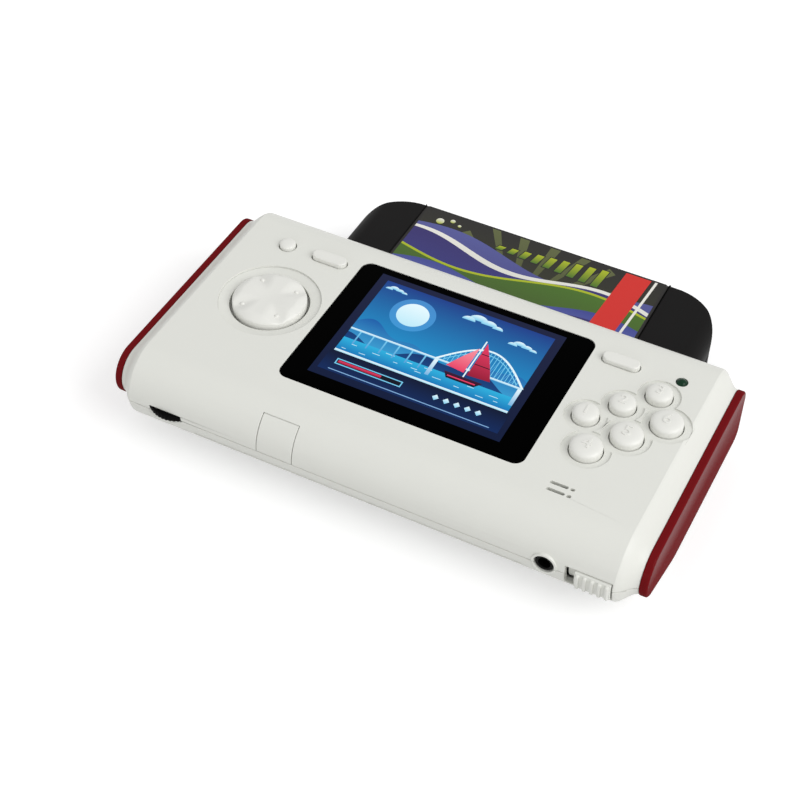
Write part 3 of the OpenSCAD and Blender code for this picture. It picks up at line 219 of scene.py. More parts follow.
def finish(name, colour, roughness, grain=0.15, depth=0.01, mottle=0.02, patch=9.0,
           printed=None, paintedSheenCoat=None, **sockets):  # grain, depth and patch in millimetres
    material, tree, output = newMaterial(name)
    shader = tree.nodes.new("ShaderNodeBsdfPrincipled")
    tree.links.new(shader.outputs[0], output.inputs["Surface"])
    where = tree.nodes.new("ShaderNodeTexCoord")
    broad = tree.nodes.new("ShaderNodeTexNoise")  # faint unevenness over the surface
    broad.inputs["Scale"].default_value = 1 / (patch * mm)
    broad.inputs["Detail"].default_value = texture["broadDetail"]
    tree.links.new(where.outputs["Object"], broad.inputs["Vector"])
    tint = tree.nodes.new("ShaderNodeMix")
    tint.data_type = "RGBA"
    tint.inputs["A"].default_value = (*[c * (1 - mottle) for c in colour], 1)
    tint.inputs["B"].default_value = (*[min(1, c * (1 + mottle)) for c in colour], 1)
    tree.links.new(broad.outputs["Fac"], tint.inputs["Factor"])
    if printed:  # inks laid over the surface, kept in a colour layer of the mesh
        inks = tree.nodes.new("ShaderNodeVertexColor")
        inks.layer_name = printed
        over = tree.nodes.new("ShaderNodeMix")
        over.data_type = "RGBA"
        over.blend_type = "MULTIPLY"
        over.inputs["Factor"].default_value = 1
        tree.links.new(inks.outputs["Color"], over.inputs["A"])
        tree.links.new(tint.outputs["Result"], over.inputs["B"])
        tree.links.new(over.outputs["Result"], shader.inputs["Base Color"])
    else:
        tree.links.new(tint.outputs["Result"], shader.inputs["Base Color"])
    fine = tree.nodes.new("ShaderNodeTexNoise")  # mould texture
    fine.inputs["Scale"].default_value = 1 / (grain * mm)
    fine.inputs["Detail"].default_value = texture["fineDetail"]
    tree.links.new(where.outputs["Object"], fine.inputs["Vector"])
    bump = tree.nodes.new("ShaderNodeBump")
    bump.inputs["Distance"].default_value = depth * mm
    bump.inputs["Strength"].default_value = 1
    tree.links.new(fine.outputs["Fac"], bump.inputs["Height"])
    tree.links.new(bump.outputs["Normal"], shader.inputs["Normal"])
    spread = tree.nodes.new("ShaderNodeMapRange")
    spread.inputs["To Min"].default_value = roughness * (1 - texture["roughSpread"])
    spread.inputs["To Max"].default_value = roughness * (1 + texture["roughSpread"])
    tree.links.new(broad.outputs["Fac"], spread.inputs["Value"])
    tree.links.new(spread.outputs["Result"], shader.inputs["Roughness"])
    for socket, value in sockets.items():
        shader.inputs[socket.replace("_", " ")].default_value = value
    if paintedSheenCoat:  # clear coat whose weight follows a layer of the mesh: painted sheen, heavier towards the top of the panels' outer face for a bright upper edge
        coat = tree.nodes.new("ShaderNodeAttribute")
        coat.attribute_name = "paintedSheenCoat"
        weight = tree.nodes.new("ShaderNodeMapRange")
        weight.inputs["To Min"].default_value, weight.inputs["To Max"].default_value = paintedSheenCoat
        tree.links.new(coat.outputs["Fac"], weight.inputs["Value"])
        tree.links.new(weight.outputs["Result"], shader.inputs["Coat Weight"])
    return material


def litPicture(name, spec):
    material, tree, output = newMaterial(name)
    shader = tree.nodes.new("ShaderNodeBsdfPrincipled")
    shader.inputs["Base Color"].default_value = spec["base"]
    shader.inputs["Roughness"].default_value = spec["roughness"]
    shader.inputs["Specular IOR Level"].default_value = spec["specular"]
    shader.inputs["Emission Strength"].default_value = spec["strength"]
    inks = tree.nodes.new("ShaderNodeVertexColor")
    inks.layer_name = "inks"
    tree.links.new(inks.outputs["Color"], shader.inputs["Emission Color"])
    tree.links.new(shader.outputs[0], output.inputs["Surface"])
    return material


finishes = {name: finish(name, **recipe) for name, recipe in recipes.items()}
finishes["screenGlow"] = litPicture("screenGlow", glow)
print("finishes mixed:", len(finishes))

# solids that keep their own shape: softened edges, smooth shading

dressing = {
    "weld": 0.002,  # points this close are one, in millimetres
    "flat": 0.5, "crease": 28,  # degrees: flatter faces merge, sharper edges are rounded
    "segments": 2, "evenness": 60,
    "rounding": {  # millimetres
        "top_shell": 0.1, "bottom_shell": 0.2, "port_cover": 0.15, "power_slider": 0.25,
        "cartridge_upper_shell": 0.5, "cartridge_lower_shell": 0.5, "start_button": 0.5, "menu_button": 0.5,
        "battery_cover": 0.2, "headphone_jack": 0.25, "volume_wheel": 0.12, "charging_port": 0.1,
    },
    "wearing": {  # finish of each slot
        "shell": "shellPlastic", "buttons": "keyPlastic", "panel": "redPanel", "window": "windowBlack",
        "display": "windowBlack", "white": "diffuser", "steel": "plated", "rubber": "greyRubber",
        "ribbon": "amberFilm", "board": "boardGreen", "chip": "chipBlack", "can": "canMetal",
        "light": "ledGreen", "speaker": "speakerBlack", "jack": "jackBlack", "wheel": "wheelBlack",
        "contact": "gilt", "cartridge": "cartBlack", "label": "cartBlack", "battery": "cellWrap",
    },
}


def dressNodes(spec):
    slotOf = {row["node"]: row["material_slot"] for row in frame["record"]["subparts"]}
    for name, node in nodes.items():
        node.data.materials.clear()
        node.data.materials.append(finishes[spec["wearing"][slotOf[name]]])
        node.data.shade_smooth()
        weld = node.modifiers.new("weld", "WELD")
        weld.merge_threshold = spec["weld"] * mm
        flat = node.modifiers.new("flat", "DECIMATE")
        flat.decimate_type = "DISSOLVE"
        flat.angle_limit = math.radians(spec["flat"])
        if name in spec["rounding"]:
            bevel = node.modifiers.new("edge", "BEVEL")
            bevel.width = spec["rounding"][name] * mm
            bevel.segments = spec["segments"]
            bevel.limit_method = "ANGLE"
            bevel.angle_limit = math.radians(spec["crease"])
            bevel.use_clamp_overlap = False
            bevel.miter_outer = "MITER_ARC"
        even = node.modifiers.new("even", "WEIGHTED_NORMAL")
        even.weight = spec["evenness"]
        even.keep_sharp = False


dressNodes(dressing)
print("solids dressed")

# mesh tools


def nodeBox(name):  # corners in millimetres
    low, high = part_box(name)
    return Vector(low) / mm, Vector(high) / mm


def newPiece(name, verts, faces, material, crease=40):
    mesh = bpy.data.meshes.new(name)
    mesh.from_pydata([Vector(v) * mm for v in verts], [], faces)
    shape = bmesh.new()
    shape.from_mesh(mesh)
    bmesh.ops.recalc_face_normals(shape, faces=shape.faces)
    shape.to_mesh(mesh)
    shape.free()
    mesh.shade_smooth()
    mesh.set_sharp_from_angle(angle=math.radians(crease))
    mesh.materials.append(finishes[material])
    return addObject(name, mesh)


def around(centre, radius, degrees):
    turn = math.radians(degrees)
    return centre[0] + radius * math.cos(turn), centre[1] + radius * math.sin(turn)


def turned(profile, centre, steps=96, onAxis=1e-6):  # closed turned form from (radius, height), axis to axis
    verts, faces, rings = [], [], []
    for radius, height in profile:
        first = len(verts)
        if radius < onAxis:
            verts.append((*centre, height))
            rings.append([first] * steps)
            continue
        verts += [(*around(centre, radius, 360 * k / steps), height) for k in range(steps)]
        rings.append([first + k for k in range(steps)])
    for lower, upper in zip(rings, rings[1:]):
        for k in range(steps):
            loop = [lower[k], lower[(k + 1) % steps], upper[(k + 1) % steps], upper[k]]
            loop = [v for i, v in enumerate(loop) if v != loop[i - 1]]
            if len(loop) > 2:
                faces.append(loop)
    return verts, faces


def joined(*forms):
    verts, faces = [], []
    for formVerts, formFaces in forms:
        start = len(verts)
        verts += formVerts
        faces += [[v + start for v in face] for face in formFaces]
    return verts, faces


def stacked(rings, capFirst=True):  # loft through rings of equal length
    count = len(rings[0])
    verts = [v for ring in rings for v in ring]
    faces = []
    for r in range(len(rings) - 1):
        for k in range(count):
            n = (k + 1) % count
            faces.append([r * count + k, r * count + n, (r + 1) * count + n, (r + 1) * count + k])
    if capFirst:
        faces.append(list(range(count))[::-1])
    faces.append(list(range(len(verts) - count, len(verts))))
    return verts, faces


def softRect(low, high, inset, radius, steps=10):  # round-cornered outline, drawn in from a box
    x0, x1, y0, y1 = low.x + radius, high.x - radius, low.y + radius, high.y - radius
    points = []
    for corner, start in (((x1, y1), 0), ((x0, y1), 90), ((x0, y0), 180), ((x1, y0), 270)):
        points += [around(corner, radius - inset, start + 90 * k / steps) for k in range(steps + 1)]
    return points


def rectRings(low, high, rows, corner):  # rows of height and inset
    return [[(x, y, z) for x, y in softRect(low, high, inset, corner)] for z, inset in rows]


def roundedEdge(end, inset, edge, turns):  # rows of height and inset, round the edge to its end
    return [(end - edge * (1 - math.sin(math.radians(turn))), inset + edge * (1 - math.cos(math.radians(turn))))
            for turn in turns]


def easeStep(x):
    x = min(1, max(0, x))
    return x * x * (3 - 2 * x)


# round buttons with raised numbers

buttonCaps = {
    "flange": 0.6, "flangeHeight": 1.0, "flangeTop": 27.7,
    "stem": 0.55,  # as a share of the cap's radius
    "crown": 1.7, "resetCrown": 0.9,  # height of the rounded part
    "fullness": 2.7, "steps": 18,  # how square its shoulder is, and its rings
    "numbers": {"button_x": "1", "button_y": "2", "button_z": "3",
                "button_a": "4", "button_b": "5", "button_c": "6"},
    "numberSize": 1.2,  # as a share of the cap's radius
    "numberThick": 0.4, "numberThin": 0.035,  # half the thickness is sunk; strokes are drawn in
    "numberEdge": 0.05, "numberEdgeSteps": 2, "numberCrease": 40,
}


def capHeight(spec, top, radius, crown, q):
    return top - crown + crown * max(0, 1 - (q / radius) ** spec["fullness"]) ** (1 / spec["fullness"])


def buttonCap(name, spec, crown):
    low, high = nodeBox(name)
    centre = ((low.x + high.x) / 2, (low.y + high.y) / 2)
    radius = (high.x - low.x) / 2 - spec["flange"]
    top = high.z
    profile = []
    for k in range(spec["steps"] + 1):
        q = radius * math.sin(math.radians(90 * k / spec["steps"]))
        profile.append((q, capHeight(spec, top, radius, crown, q)))
    flangeTop = spec["flangeTop"]
    flangeLow = flangeTop - spec["flangeHeight"]
    wide, stem = radius + spec["flange"], radius * spec["stem"]
    profile += [(radius, flangeTop), (wide, flangeTop), (wide, flangeLow),
                (stem, flangeLow), (stem, low.z), (0, low.z)]
    cap = newPiece(name + "_cap", *turned(profile, centre), "keyPlastic")
    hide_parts(name)
    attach(cap, name)
    return centre, radius, top


def raisedNumber(name, spec, centre, radius, top):
    data = bpy.data.curves.new(name + "_number", "FONT")
    data.body = spec["numbers"][name]
    data.size = spec["numberSize"] * radius
    data.align_x, data.align_y = "CENTER", "CENTER"
    data.offset = -spec["numberThin"]
    data.extrude = spec["numberThick"] / 2
    data.bevel_depth = spec["numberEdge"]
    data.bevel_resolution = spec["numberEdgeSteps"]
    drawn = addObject(name + "_drawn", data)
    mesh = bpy.data.meshes.new_from_object(drawn.evaluated_get(bpy.context.evaluated_depsgraph_get()))
    bpy.data.objects.remove(drawn)
    bpy.data.curves.remove(data)
    middle = (max(v.co.x for v in mesh.vertices) + min(v.co.x for v in mesh.vertices)) / 2
    for vertex in mesh.vertices:  # laid over the crown of the cap
        x, y = vertex.co.x - middle, vertex.co.y
        lift = capHeight(spec, top, radius, spec["crown"], math.hypot(x, y))
        vertex.co = Vector((centre[0] + x, centre[1] + y, lift + vertex.co.z)) * mm
    mesh.shade_smooth()
    mesh.set_sharp_from_angle(angle=math.radians(spec["numberCrease"]))
    mesh.materials.clear()
    mesh.materials.append(finishes["keyPlastic"])
    number = addObject(name + "_number", mesh)
    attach(number, name)


for buttonName in buttonCaps["numbers"]:
    raisedNumber(buttonName, buttonCaps, *buttonCap(buttonName, buttonCaps, buttonCaps["crown"]))
buttonCap("reset_button", buttonCaps, buttonCaps["resetCrown"])
print("round buttons made")

# direction pad

pad = {
    "radius": 11.2, "flange": 13.6, "flangeTop": 26.38, "flangeLow": 25.18,
    "hub": 3.0, "socket": 1.7, "socketTurns": (25, 50, 75),
    "hollow": 0.5, "crest": 0.76,  # dished middle, and where the lobes are highest
    "rimDrop": 1.3, "rimCurve": 1.6,  # fall from the crest to the rim
    "lip": 0.25, "lipStart": 0.97,  # last turn down at the rim
    "troughStart": 0.45, "troughTop": 0.5, "troughFall": 0.19,  # recesses on the diagonals
    "troughWall": 0.4, "troughFloor": 0.9, "blend": 0.5,
    "pips": (45, 135, 225, 315), "pipRadius": 0.75, "pipAt": 0.74, "pipSink": 0.25,
    "pipStep": 15, "pipSides": 32,
    "rings": 64, "closeFrom": 0.9, "spokes": 240,  # rings lie closer from there to the rim
}


def padHeight(spec, top, share, turn):
    fromDiagonal = math.radians(abs((turn % 90) - 45))
    q = share * spec["radius"]
    dish = spec["hollow"] * (1 - easeStep(share / spec["crest"]))
    outer = max(0, (share - spec["crest"]) / (1 - spec["crest"]))
    lobe = -dish - spec["rimDrop"] * outer ** spec["rimCurve"]
    along = q * math.cos(fromDiagonal) - spec["troughStart"] * spec["radius"]
    aside = math.hypot(q * math.sin(fromDiagonal), spec["troughFloor"]) - spec["troughFloor"]
    trough = -spec["troughTop"] - spec["troughFall"] * along + spec["troughWall"] * aside
    soft = max(0, spec["blend"] - abs(lobe - trough)) ** 2 / spec["blend"] / 4
    edge = max(0, (share - spec["lipStart"]) / (1 - spec["lipStart"]))
    return top + min(lobe, trough) - soft - spec["lip"] * edge ** 2


def padRings(spec, centre, top, low):
    turns = [360 * k / spec["spokes"] for k in range(spec["spokes"])]
    near, rest = spec["closeFrom"], 1 - spec["closeFrom"]
    rings = []
    for r in range(1, spec["rings"] + 1):
        share = r / spec["rings"]
        if share >= near:
            share = near + rest * math.sin((share - near) / rest * math.pi / 2)
        rings.append([(*around(centre, spec["radius"] * share, turn), padHeight(spec, top, share, turn))
                      for turn in turns])
    below = [(spec["radius"], spec["flangeTop"]), (spec["flange"], spec["flangeTop"]),
             (spec["flange"], spec["flangeLow"]), (spec["hub"], spec["flangeLow"]), (spec["hub"], low),
             (spec["socket"], low)]
    below += [around((0, low), spec["socket"], turn) for turn in spec["socketTurns"]]
    for q, height in below:
        rings.append([(*around(centre, q, turn), height) for turn in turns])
    return rings


def padPip(spec, centre, top, turn):
    at = around(centre, spec["radius"] * spec["pipAt"], turn)
    ground = padHeight(spec, top, spec["pipAt"], turn) - spec["pipSink"]
    dome = [(0, ground + spec["pipRadius"])]
    for a in range(spec["pipStep"], 91, spec["pipStep"]):
        dome.append((spec["pipRadius"] * math.sin(math.radians(a)),
                     ground + spec["pipRadius"] * math.cos(math.radians(a))))
    return turned(dome + [(0, ground)], at, spec["pipSides"])


def buildPad(spec):
    low, high = nodeBox("dpad")
    centre = ((low.x + high.x) / 2, (low.y + high.y) / 2)
    top, count = high.z, spec["spokes"]
    verts, faces = stacked(padRings(spec, centre, top, low.z), capFirst=False)
    verts.append((*centre, padHeight(spec, top, 0, 0)))
    faces += [[(k + 1) % count, k, len(verts) - 1] for k in range(count)]
    pips = [padPip(spec, centre, top, turn) for turn in spec["pips"]]
    piece = newPiece("direction_pad", *joined((verts, faces), *pips), "keyPlastic")
    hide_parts("dpad")
    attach(piece, "dpad")


buildPad(pad)
print("direction pad made")

# side panels

sidePanel = {
    "middle": -1.4, "inner": 81.3, "outer": 83.8, "inset": 4.2, "bow": 0.25,
    "backEdge": 0.15, "edge": 0.6, "edgeStep": 10,
    "faceRings": (0.93, 0.8, 0.6, 0.4, 0.2, 0.06),  # shares of the outline
    "coatFrom": 0.5, "coatCurve": 1.3,  # where up the face the clear coat's painted sheen starts, and how it grows towards the top
    "arcs": [  # the case's outline: centre y and z, radius, start and end
        (30, 20, 10, 0, 90), (-34, 17.8, 12.2, 90, 252.6),
        (-14.17, 25, 25, 252.6, 270), (32, 8, 8, 270, 360)],
    "arcStep": 4, "arcFewest": 6, "same": 0.01,  # points this close are one
}


def caseOutline(spec, inset):
    points = []
    for cy, cz, radius, start, end in spec["arcs"]:
        steps = max(spec["arcFewest"], round((end - start) / spec["arcStep"]))
        points += [around((cy, cz), radius - inset, start + (end - start) * k / steps)
                   for k in range(steps + 1)]
    return [p for i, p in enumerate(points) if math.dist(p, points[i - 1]) > spec["same"]]


def buildPanel(spec, side, nodeName):
    x0, x1 = spec["inner"], spec["outer"] - spec["bow"]
    rows = [(x0, spec["inset"] + spec["backEdge"]), (x0 + spec["backEdge"], spec["inset"])]
    rows += roundedEdge(x1, spec["inset"], spec["edge"], range(0, 91, spec["edgeStep"]))
    rings = [[(spec["middle"] + side * x, y, z) for y, z in caseOutline(spec, inset)] for x, inset in rows]
    face = [Vector(p) for p in rings[-1]]
    middle = sum(face, Vector()) / len(face)
    for share in spec["faceRings"]:
        swell = Vector((side * spec["bow"] * (1 - share ** 2), 0, 0))
        rings.append([tuple(middle + (p - middle) * share + swell) for p in face])
    panel = newPiece(nodeName.replace("_side", "") + "_red", *stacked(rings), "redPanel")
    low, high = min(p[2] for p in rings[1]), max(p[2] for p in rings[1])
    outerFace = (len(rows) - 1) * len(face)  # first point of the outer face
    # painted sheen: clear coat weight rises towards the top of the outer face, for a bright upper edge;
    # elsewhere it is zero
    coat = panel.data.attributes.new("paintedSheenCoat", "FLOAT", "POINT")
    for k, vertex in enumerate(panel.data.vertices):
        rise = (vertex.co.z / mm - low) / (high - low)
        above = max(0, (rise - spec["coatFrom"]) / (1 - spec["coatFrom"]))
        coat.data[k].value = above ** spec["coatCurve"] if k >= outerFace else 0
    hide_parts(nodeName)
    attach(panel, "case")


buildPanel(sidePanel, -1, "left_side_panel")
buildPanel(sidePanel, 1, "right_side_panel")
print("side panels made")

# inked flat designs: coloured patches in thin layers


def ink(red, green, blue):  # screen values 0 to 255, to linear
    return [(v / 255 / 12.92) if v < 11 else ((v / 255 + 0.055) / 1.055) ** 2.4 for v in (red, green, blue)]


class InkSheet:
    def __init__(self, x0, x1, y0, y1, z, layer):
        self.area = (x0, x1, y0, y1)
        self.z, self.layer = z, layer
        self.verts, self.faces, self.inks = [], [], []

    def patch(self, points, low, high=None, level=1):  # points in shares of the area; ink fades upwards
        x0, x1, y0, y1 = self.area
        bottom, top = min(v for u, v in points), max(v for u, v in points)
        first = len(self.verts)
        for u, v in points:
            self.verts.append((x0 + (x1 - x0) * u, y0 + (y1 - y0) * v, self.z + level * self.layer))
            t = (v - bottom) / max(1e-6, top - bottom)
            self.inks.append([a + (b - a) * t for a, b in zip(low, high or low)])
        self.faces.append(list(range(first, len(self.verts))))

    def box(self, u0, u1, v0, v1, low, high=None, level=1):
        self.patch([(u0, v0), (u1, v0), (u1, v1), (u0, v1)], low, high, level)

    def disc(self, u, v, across, low, high=None, level=1, squash=1.0, end=360, steps=40):
        x0, x1, y0, y1 = self.area
        tall = across * (x1 - x0) / (y1 - y0) * squash
        turns = [math.radians(end * k / steps) for k in range(steps + (end < 360))]
        self.patch([(u + across * math.cos(t), v + tall * math.sin(t)) for t in turns], low, high, level)

    def line(self, points, width, colour, level=1):  # width as a share of the area's breadth
        x0, x1, y0, y1 = self.area
        tall = (x1 - x0) / (y1 - y0)
        for (u0, v0), (u1, v1) in zip(points, points[1:]):
            along = Vector((u1 - u0, (v1 - v0) / tall)).normalized() * width / 2
            du, dv = -along.y, along.x * tall
            self.patch([(u0 + du, v0 + dv), (u0 - du, v0 - dv), (u1 - du, v1 - dv), (u1 + du, v1 + dv)],
                       colour, None, level)

    def piece(self, name, material):
        mesh = bpy.data.meshes.new(name)
        mesh.from_pydata([Vector(v) * mm for v in self.verts], [], self.faces)
        shape = bmesh.new()
        shape.from_mesh(mesh)
        for face in shape.faces:
            if face.normal.z < 0:
                face.normal_flip()
        shape.to_mesh(mesh)
        shape.free()
        layer = mesh.color_attributes.new("inks", "FLOAT_COLOR", "POINT")
        for k, colour in enumerate(self.inks):
            layer.data[k].color = (*colour, 1)
        mesh.materials.append(finishes[material])
        return addObject(name, mesh)


# screen window and its lit picture

screen = {
    "corner": 3.0, "edge": 0.22, "edgeTurns": (30, 60, 90),
    "picture": (-31.0, 29.5, -22.15, 24.85), "layer": 0.004,  # lit area, x then y
    "white": ink(232, 250, 255), "cyan": ink(120, 205, 240), "navy": ink(6, 22, 58), "ink": ink(10, 12, 30),
    "skyHigh": ink(28, 62, 138), "skyLow": ink(30, 160, 218),
    "pink": ink(232, 60, 100), "red": ink(150, 22, 52),
    # places in shares of the picture
    "left": 0.045, "right": 0.955, "top": 0.955, "shore": 0.25, "hillFoot": 0.3, "deck": 0.455,
    "moon": (0.27, 0.735), "halo": 0.115, "moonSize": 0.082,
    "clouds": ((0.60, 0.86, 1.0), (0.84, 0.78, 0.7), (0.12, 0.885, 0.55)),  # place and size
    "puffs": ((-0.075, 0, 0.035), (-0.03, 0.02, 0.05), (0.03, 0.01, 0.042), (0.08, 0, 0.028)),
    "hillSteps": 60,  # hills: mean height, then size, waves and shift of a long and a short swell
    "farHills": (0.50, 0.055, 9, 0.6, 0.035, 21, 0), "nearHills": (0.41, 0.05, 7, 3.4, 0.028, 17, 1),
    "waterTop": 0.365, "ripples": 17, "rippleThick": 0.0055,
    "rippleAlong": (0.07, 0.381, 0.82), "rippleUp": (0.268, 0.0237, 0.085),  # start, step and spread
    "rippleShort": 0.022, "rippleMore": 0.03,  # shortest, and what is added to the longer ones
    "archStart": 0.50, "archSpan": 0.455, "archRise": 0.21, "archSteps": 24, "archWidth": 0.011,
    "innerDrop": 0.035, "innerWidth": 0.005, "hangerWidth": 0.0035, "braceDrop": 0.03, "braceWidth": 0.0025,
    "deckHalf": 0.008, "towers": (0.50, 0.935), "towerWidth": 0.02,
    "piers": (0.10, 0.17, 0.24, 0.31, 0.38, 0.45), "pierWidth": 0.008, "pierFoot": 0.33, "pierGap": 0.005,
    "hull": ((0.60, 0.335), (0.745, 0.335), (0.775, 0.385), (0.575, 0.385)),
    "hullStripe": (0.60, 0.745, 0.352, 0.362),
    "mast": ((0.672, 0.385), (0.672, 0.735)), "mastWidth": 0.007,
    "mainSail": ((0.682, 0.41), (0.80, 0.42), (0.765, 0.52), (0.725, 0.62), (0.682, 0.72)),
    "foreSail": ((0.662, 0.42), (0.662, 0.66), (0.615, 0.56), (0.565, 0.435)),
    "battens": (((0.682, 0.52), (0.765, 0.52)), ((0.682, 0.62), (0.725, 0.62))), "battenWidth": 0.005,
    "ledge": 0.018, "tray": (0.03, 0.97, 0.055), "rule": (0.08, 0.92, 0.072, 0.079),
    "bar": (0.09, 0.44, 0.128, 0.178), "barGround": (0.096, 0.434, 0.136, 0.170),
    "barFill": (0.102, 0.33, 0.142, 0.164),
    "counters": 5, "counterStart": 0.60, "counterStep": 0.055, "counterUp": 0.153,
    "counterHalf": (0.017, 0.025),  # half its breadth and height
}


def buildWindow(spec):
    low, high = nodeBox("screen_window")
    rows = [(low.z, 0), (high.z - spec["edge"], 0)]
    rows += roundedEdge(high.z, 0, spec["edge"], spec["edgeTurns"])
    pane = newPiece("window_pane", *stacked(rectRings(low, high, rows, spec["corner"])), "windowBlack")
    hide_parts("screen_window")
    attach(pane, "case")
    return high.z


def hillPatch(spec, hills):
    left, right, foot = spec["left"], spec["right"], spec["hillFoot"]
    height, large, slow, shift, small, fast, start = hills
    points = []
    for k in range(spec["hillSteps"] + 1):
        u = k / spec["hillSteps"]
        crest = height + large * math.sin(slow * u + shift) + small * math.sin(fast * u + start)
        points.append((left + (right - left) * u, crest))
    return points + [(right, foot), (left, foot)]


def drawSky(spec, sheet):
    white, cyan, left, right = spec["white"], spec["cyan"], spec["left"], spec["right"]
    sheet.box(0, 1, 0, 1, spec["navy"], ink(24, 30, 62), 1)
    sheet.box(left, right, spec["shore"], spec["top"], spec["skyLow"], spec["skyHigh"], 2)
    sheet.disc(*spec["moon"], spec["halo"], ink(62, 150, 212), ink(70, 140, 205), 3)
    sheet.disc(*spec["moon"], spec["moonSize"], ink(190, 235, 250), white, 4)
    for u, v, size in spec["clouds"]:
        for du, dv, across in spec["puffs"]:
            sheet.disc(u + du * size, v + dv * size, across * size, cyan, white, 3, squash=0.8, end=180)
    sheet.patch(hillPatch(spec, spec["farHills"]), ink(60, 165, 215), ink(24, 92, 168), 5)
    sheet.patch(hillPatch(spec, spec["nearHills"]), ink(16, 78, 140), ink(12, 44, 104), 6)
    sheet.box(left, right, spec["shore"], spec["waterTop"], ink(18, 120, 186), ink(44, 176, 222), 7)
    for k in range(spec["ripples"]):
        u, v = [start + (k * step) % spread for start, step, spread in (spec["rippleAlong"], spec["rippleUp"])]
        length = spec["rippleShort"] + spec["rippleMore"] * ((k * 7) % 5) / 5
        sheet.box(u, u + length, v, v + spec["rippleThick"], cyan, white, 8)


def drawBridge(spec, sheet):
    white, cyan, deck, count = spec["white"], spec["cyan"], spec["deck"], spec["archSteps"]
    arch = [(spec["archStart"] + spec["archSpan"] * k / count,
             deck + spec["archRise"] * math.sin(math.pi * k / count)) for k in range(count + 1)]
    sheet.line(arch, spec["archWidth"], white, 9)
    sheet.line([(u, v - spec["innerDrop"]) for u, v in arch[2:-2]], spec["innerWidth"], cyan, 9)
    for u, v in arch[2:-2]:  # hangers
        sheet.line([(u, v), (u, deck)], spec["hangerWidth"], cyan, 9)
    for k in range(2, count - 2, 2):  # braces
        u, v = arch[k + 1]
        sheet.line([(arch[k][0], deck), (u, v - spec["braceDrop"])], spec["braceWidth"], ink(90, 170, 225), 9)
    half = spec["deckHalf"]
    sheet.box(spec["left"], spec["right"], deck - half, deck + half, ink(150, 210, 240), white, 10)
    for u in spec["towers"]:
        sheet.box(u, u + spec["towerWidth"], spec["hillFoot"], deck, ink(120, 180, 225), white, 10)
    for u in spec["piers"]:
        sheet.box(u, u + spec["pierWidth"], spec["pierFoot"], deck - spec["pierGap"], ink(90, 160, 215), cyan, 9)


def drawBoat(spec, sheet):
    sheet.patch(spec["hull"], spec["ink"], ink(60, 20, 50), 11)
    sheet.line(spec["mast"], spec["mastWidth"], spec["white"], 11)
    sheet.patch(spec["mainSail"], spec["red"], spec["pink"], 12)
    sheet.patch(spec["foreSail"], spec["pink"], ink(250, 150, 165), 12)
    for batten in spec["battens"]:
        sheet.line(batten, spec["battenWidth"], spec["ink"], 13)
    sheet.box(*spec["hullStripe"], spec["pink"], None, 13)


def drawCounters(spec, sheet):
    white, cyan, shore = spec["white"], spec["cyan"], spec["shore"]
    sheet.box(spec["left"], spec["right"], shore - spec["ledge"], shore, ink(170, 222, 242), white, 8)
    sheet.box(*spec["tray"], shore - spec["ledge"], ink(8, 40, 92), ink(5, 18, 48), 7)
    sheet.box(*spec["rule"], ink(130, 175, 220), None, 9)
    sheet.box(*spec["bar"], cyan, None, 8)
    sheet.box(*spec["barGround"], spec["ink"], None, 9)
    sheet.box(*spec["barFill"], spec["red"], spec["pink"], 10)
    (wide, tall), v = spec["counterHalf"], spec["counterUp"]
    for k in range(spec["counters"]):
        u = spec["counterStart"] + spec["counterStep"] * k
        sheet.patch([(u, v), (u + wide, v + tall), (u + 2 * wide, v), (u + wide, v - tall)], cyan, white, 9)


def drawPicture(spec, z):
    sheet = InkSheet(*spec["picture"], z, spec["layer"])
    for draw in (drawSky, drawBridge, drawBoat, drawCounters):
        draw(spec, sheet)
    picture = sheet.piece("lit_picture", "screenGlow")
    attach(picture, "case")


drawPicture(screen, buildWindow(screen))
print("screen made")

# cartridge label

label = {
    "corner": 1.2, "edge": 0.06, "layer": 0.003,
    "violet": ink(52, 44, 104), "blue": ink(58, 66, 140), "mauve": ink(84, 88, 150),
    "lilac": ink(120, 128, 190), "olive": ink(58, 62, 34), "green": ink(70, 108, 34),
    "lime": ink(168, 180, 36), "moss": ink(92, 98, 60), "grey": ink(178, 182, 178),
    "red": ink(206, 46, 40), "dark": ink(34, 32, 30), "white": ink(232, 230, 222),
    # places in shares of the label
    "left": 0.01, "right": 0.99, "bottom": 0.015, "top": 0.985,
    "rays": 9, "rayCentre": (0.52, 0.30), "rayReach": (0.46, 0.8),
    "rayStart": 20, "rayWidth": 5, "rayStep": 16,  # degrees
    "bandSteps": 80,
    "bands": [  # height, swell, waves, shift, tilt, lower and upper ink, level
        (0.80, 0.07, 7.0, 0.4, -0.10, "violet", "mauve", 3),
        (0.735, 0.065, 8.2, 1.1, -0.06, "grey", "white", 4),
        (0.70, 0.07, 8.0, 1.3, -0.06, "blue", "violet", 5),
        (0.575, 0.075, 6.4, 3.0, 0.06, "lime", "lime", 6),
        (0.555, 0.075, 6.4, 3.0, 0.06, "olive", "green", 7),
        (0.43, 0.06, 9.0, 0.2, 0.05, "lilac", "blue", 8),
        (0.36, 0.05, 9.0, 0.5, 0.05, "violet", "violet", 9),
    ],
    "dots": ((0.085, 0.89, 0.016), (0.13, 0.925, 0.010), (0.165, 0.90, 0.007)),
    "bars": 9, "barAlong": (0.335, 0.05), "barLow": (0.80, -0.006), "barHigh": (0.855, 0.0115),  # start and step
    "barRim": (0, 0.034, 0.046, 0.012), "barFill": (0.004, 0.031, 0.042, 0.015), "barInset": 0.008,
    "stripes": ((0.80, 0.90, "red"), (0.915, 0.925, "white")), "slant": 0.035,
}


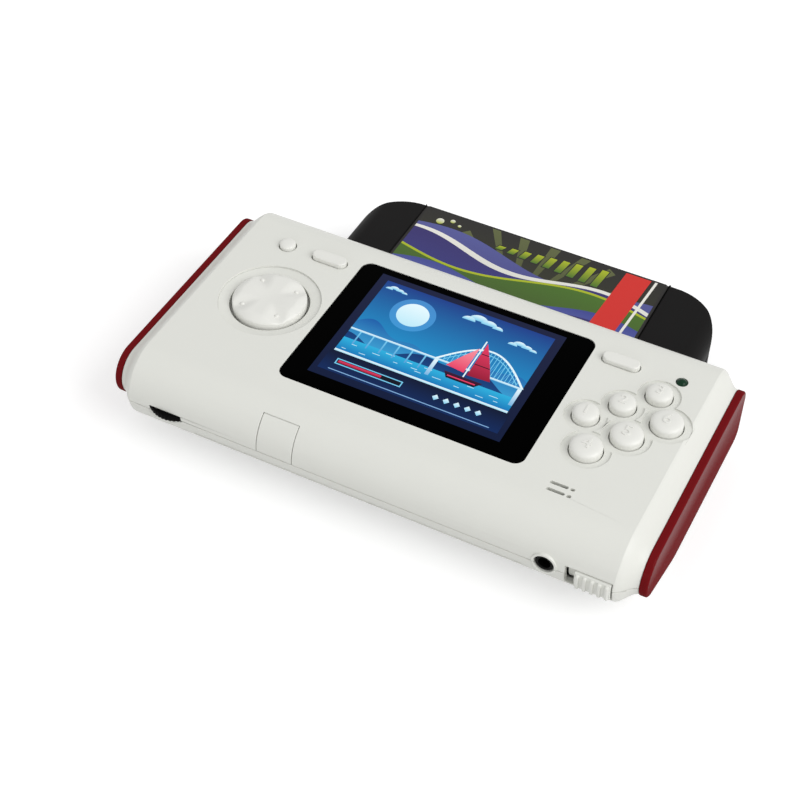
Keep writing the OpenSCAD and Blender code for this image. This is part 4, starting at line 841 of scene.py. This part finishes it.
def buildLabel(spec):
    low, high = nodeBox("cartridge_label")
    edge = spec["edge"]
    rows = [(low.z, 0), (high.z - edge, 0), (high.z, edge)]
    card = newPiece("label_card", *stacked(rectRings(low, high, rows, spec["corner"])), "labelPrint")
    tone = card.data.color_attributes.new("inks", "FLOAT_COLOR", "POINT")
    for point in tone.data:
        point.color = (*spec["dark"], 1)
    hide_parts("cartridge_label")
    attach(card, "cartridge")
    return InkSheet(low.x + edge, high.x - edge, low.y + edge, high.y - edge, high.z, spec["layer"])


def drawRays(spec, sheet):
    (u, v), (wide, tall) = spec["rayCentre"], spec["rayReach"]
    for k in range(spec["rays"]):
        start = spec["rayStart"] + spec["rayStep"] * k
        tips = [(u + wide * math.cos(turn), min(spec["top"], v + tall * math.sin(turn)))
                for turn in (math.radians(start), math.radians(start + spec["rayWidth"]))]
        sheet.patch([(u, v)] + tips, spec["olive"], spec["moss"], 2)


def drawBands(spec, sheet):
    left, right, bottom, top = spec["left"], spec["right"], spec["bottom"], spec["top"]
    steps = [k / spec["bandSteps"] for k in range(spec["bandSteps"] + 1)]
    for base, swell, waves, shift, tilt, low, high, level in spec["bands"]:
        crest = [(left + (right - left) * u, min(top, base + tilt * u + swell * math.sin(waves * u + shift)))
                 for u in steps]
        sheet.patch(crest + [(right, bottom), (left, bottom)], spec[low], spec[high], level)


def drawBars(spec, sheet):  # rising row of slanted bars
    inset = spec["barInset"]
    for k in range(spec["bars"]):
        u, low, high = [start + step * k for start, step in (spec["barAlong"], spec["barLow"], spec["barHigh"])]
        rim = zip(spec["barRim"], (low, low, high, high))
        fill = zip(spec["barFill"], (low + inset, low + inset, high - inset, high - inset))
        sheet.patch([(u + du, v) for du, v in rim], spec["dark"], None, 6)
        sheet.patch([(u + du, v) for du, v in fill], spec["green"], spec["lime"], 7)


def drawLabel(spec, sheet):
    bottom, top, slant = spec["bottom"], spec["top"], spec["slant"]
    sheet.box(spec["left"], spec["right"], bottom, top, spec["olive"], spec["dark"], 1)
    drawRays(spec, sheet)
    drawBands(spec, sheet)
    for u, v, across in spec["dots"]:
        sheet.disc(u, v, across, spec["lime"], spec["white"], 6)
    drawBars(spec, sheet)
    for u0, u1, colour in spec["stripes"]:
        sheet.patch([(u0, bottom), (u1, bottom), (u1 + slant, top), (u0 + slant, top)],
                    spec[colour], None, 10)
    inked = sheet.piece("label_inks", "labelPrint")
    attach(inked, "cartridge")


drawLabel(label, buildLabel(label))
print("label made")
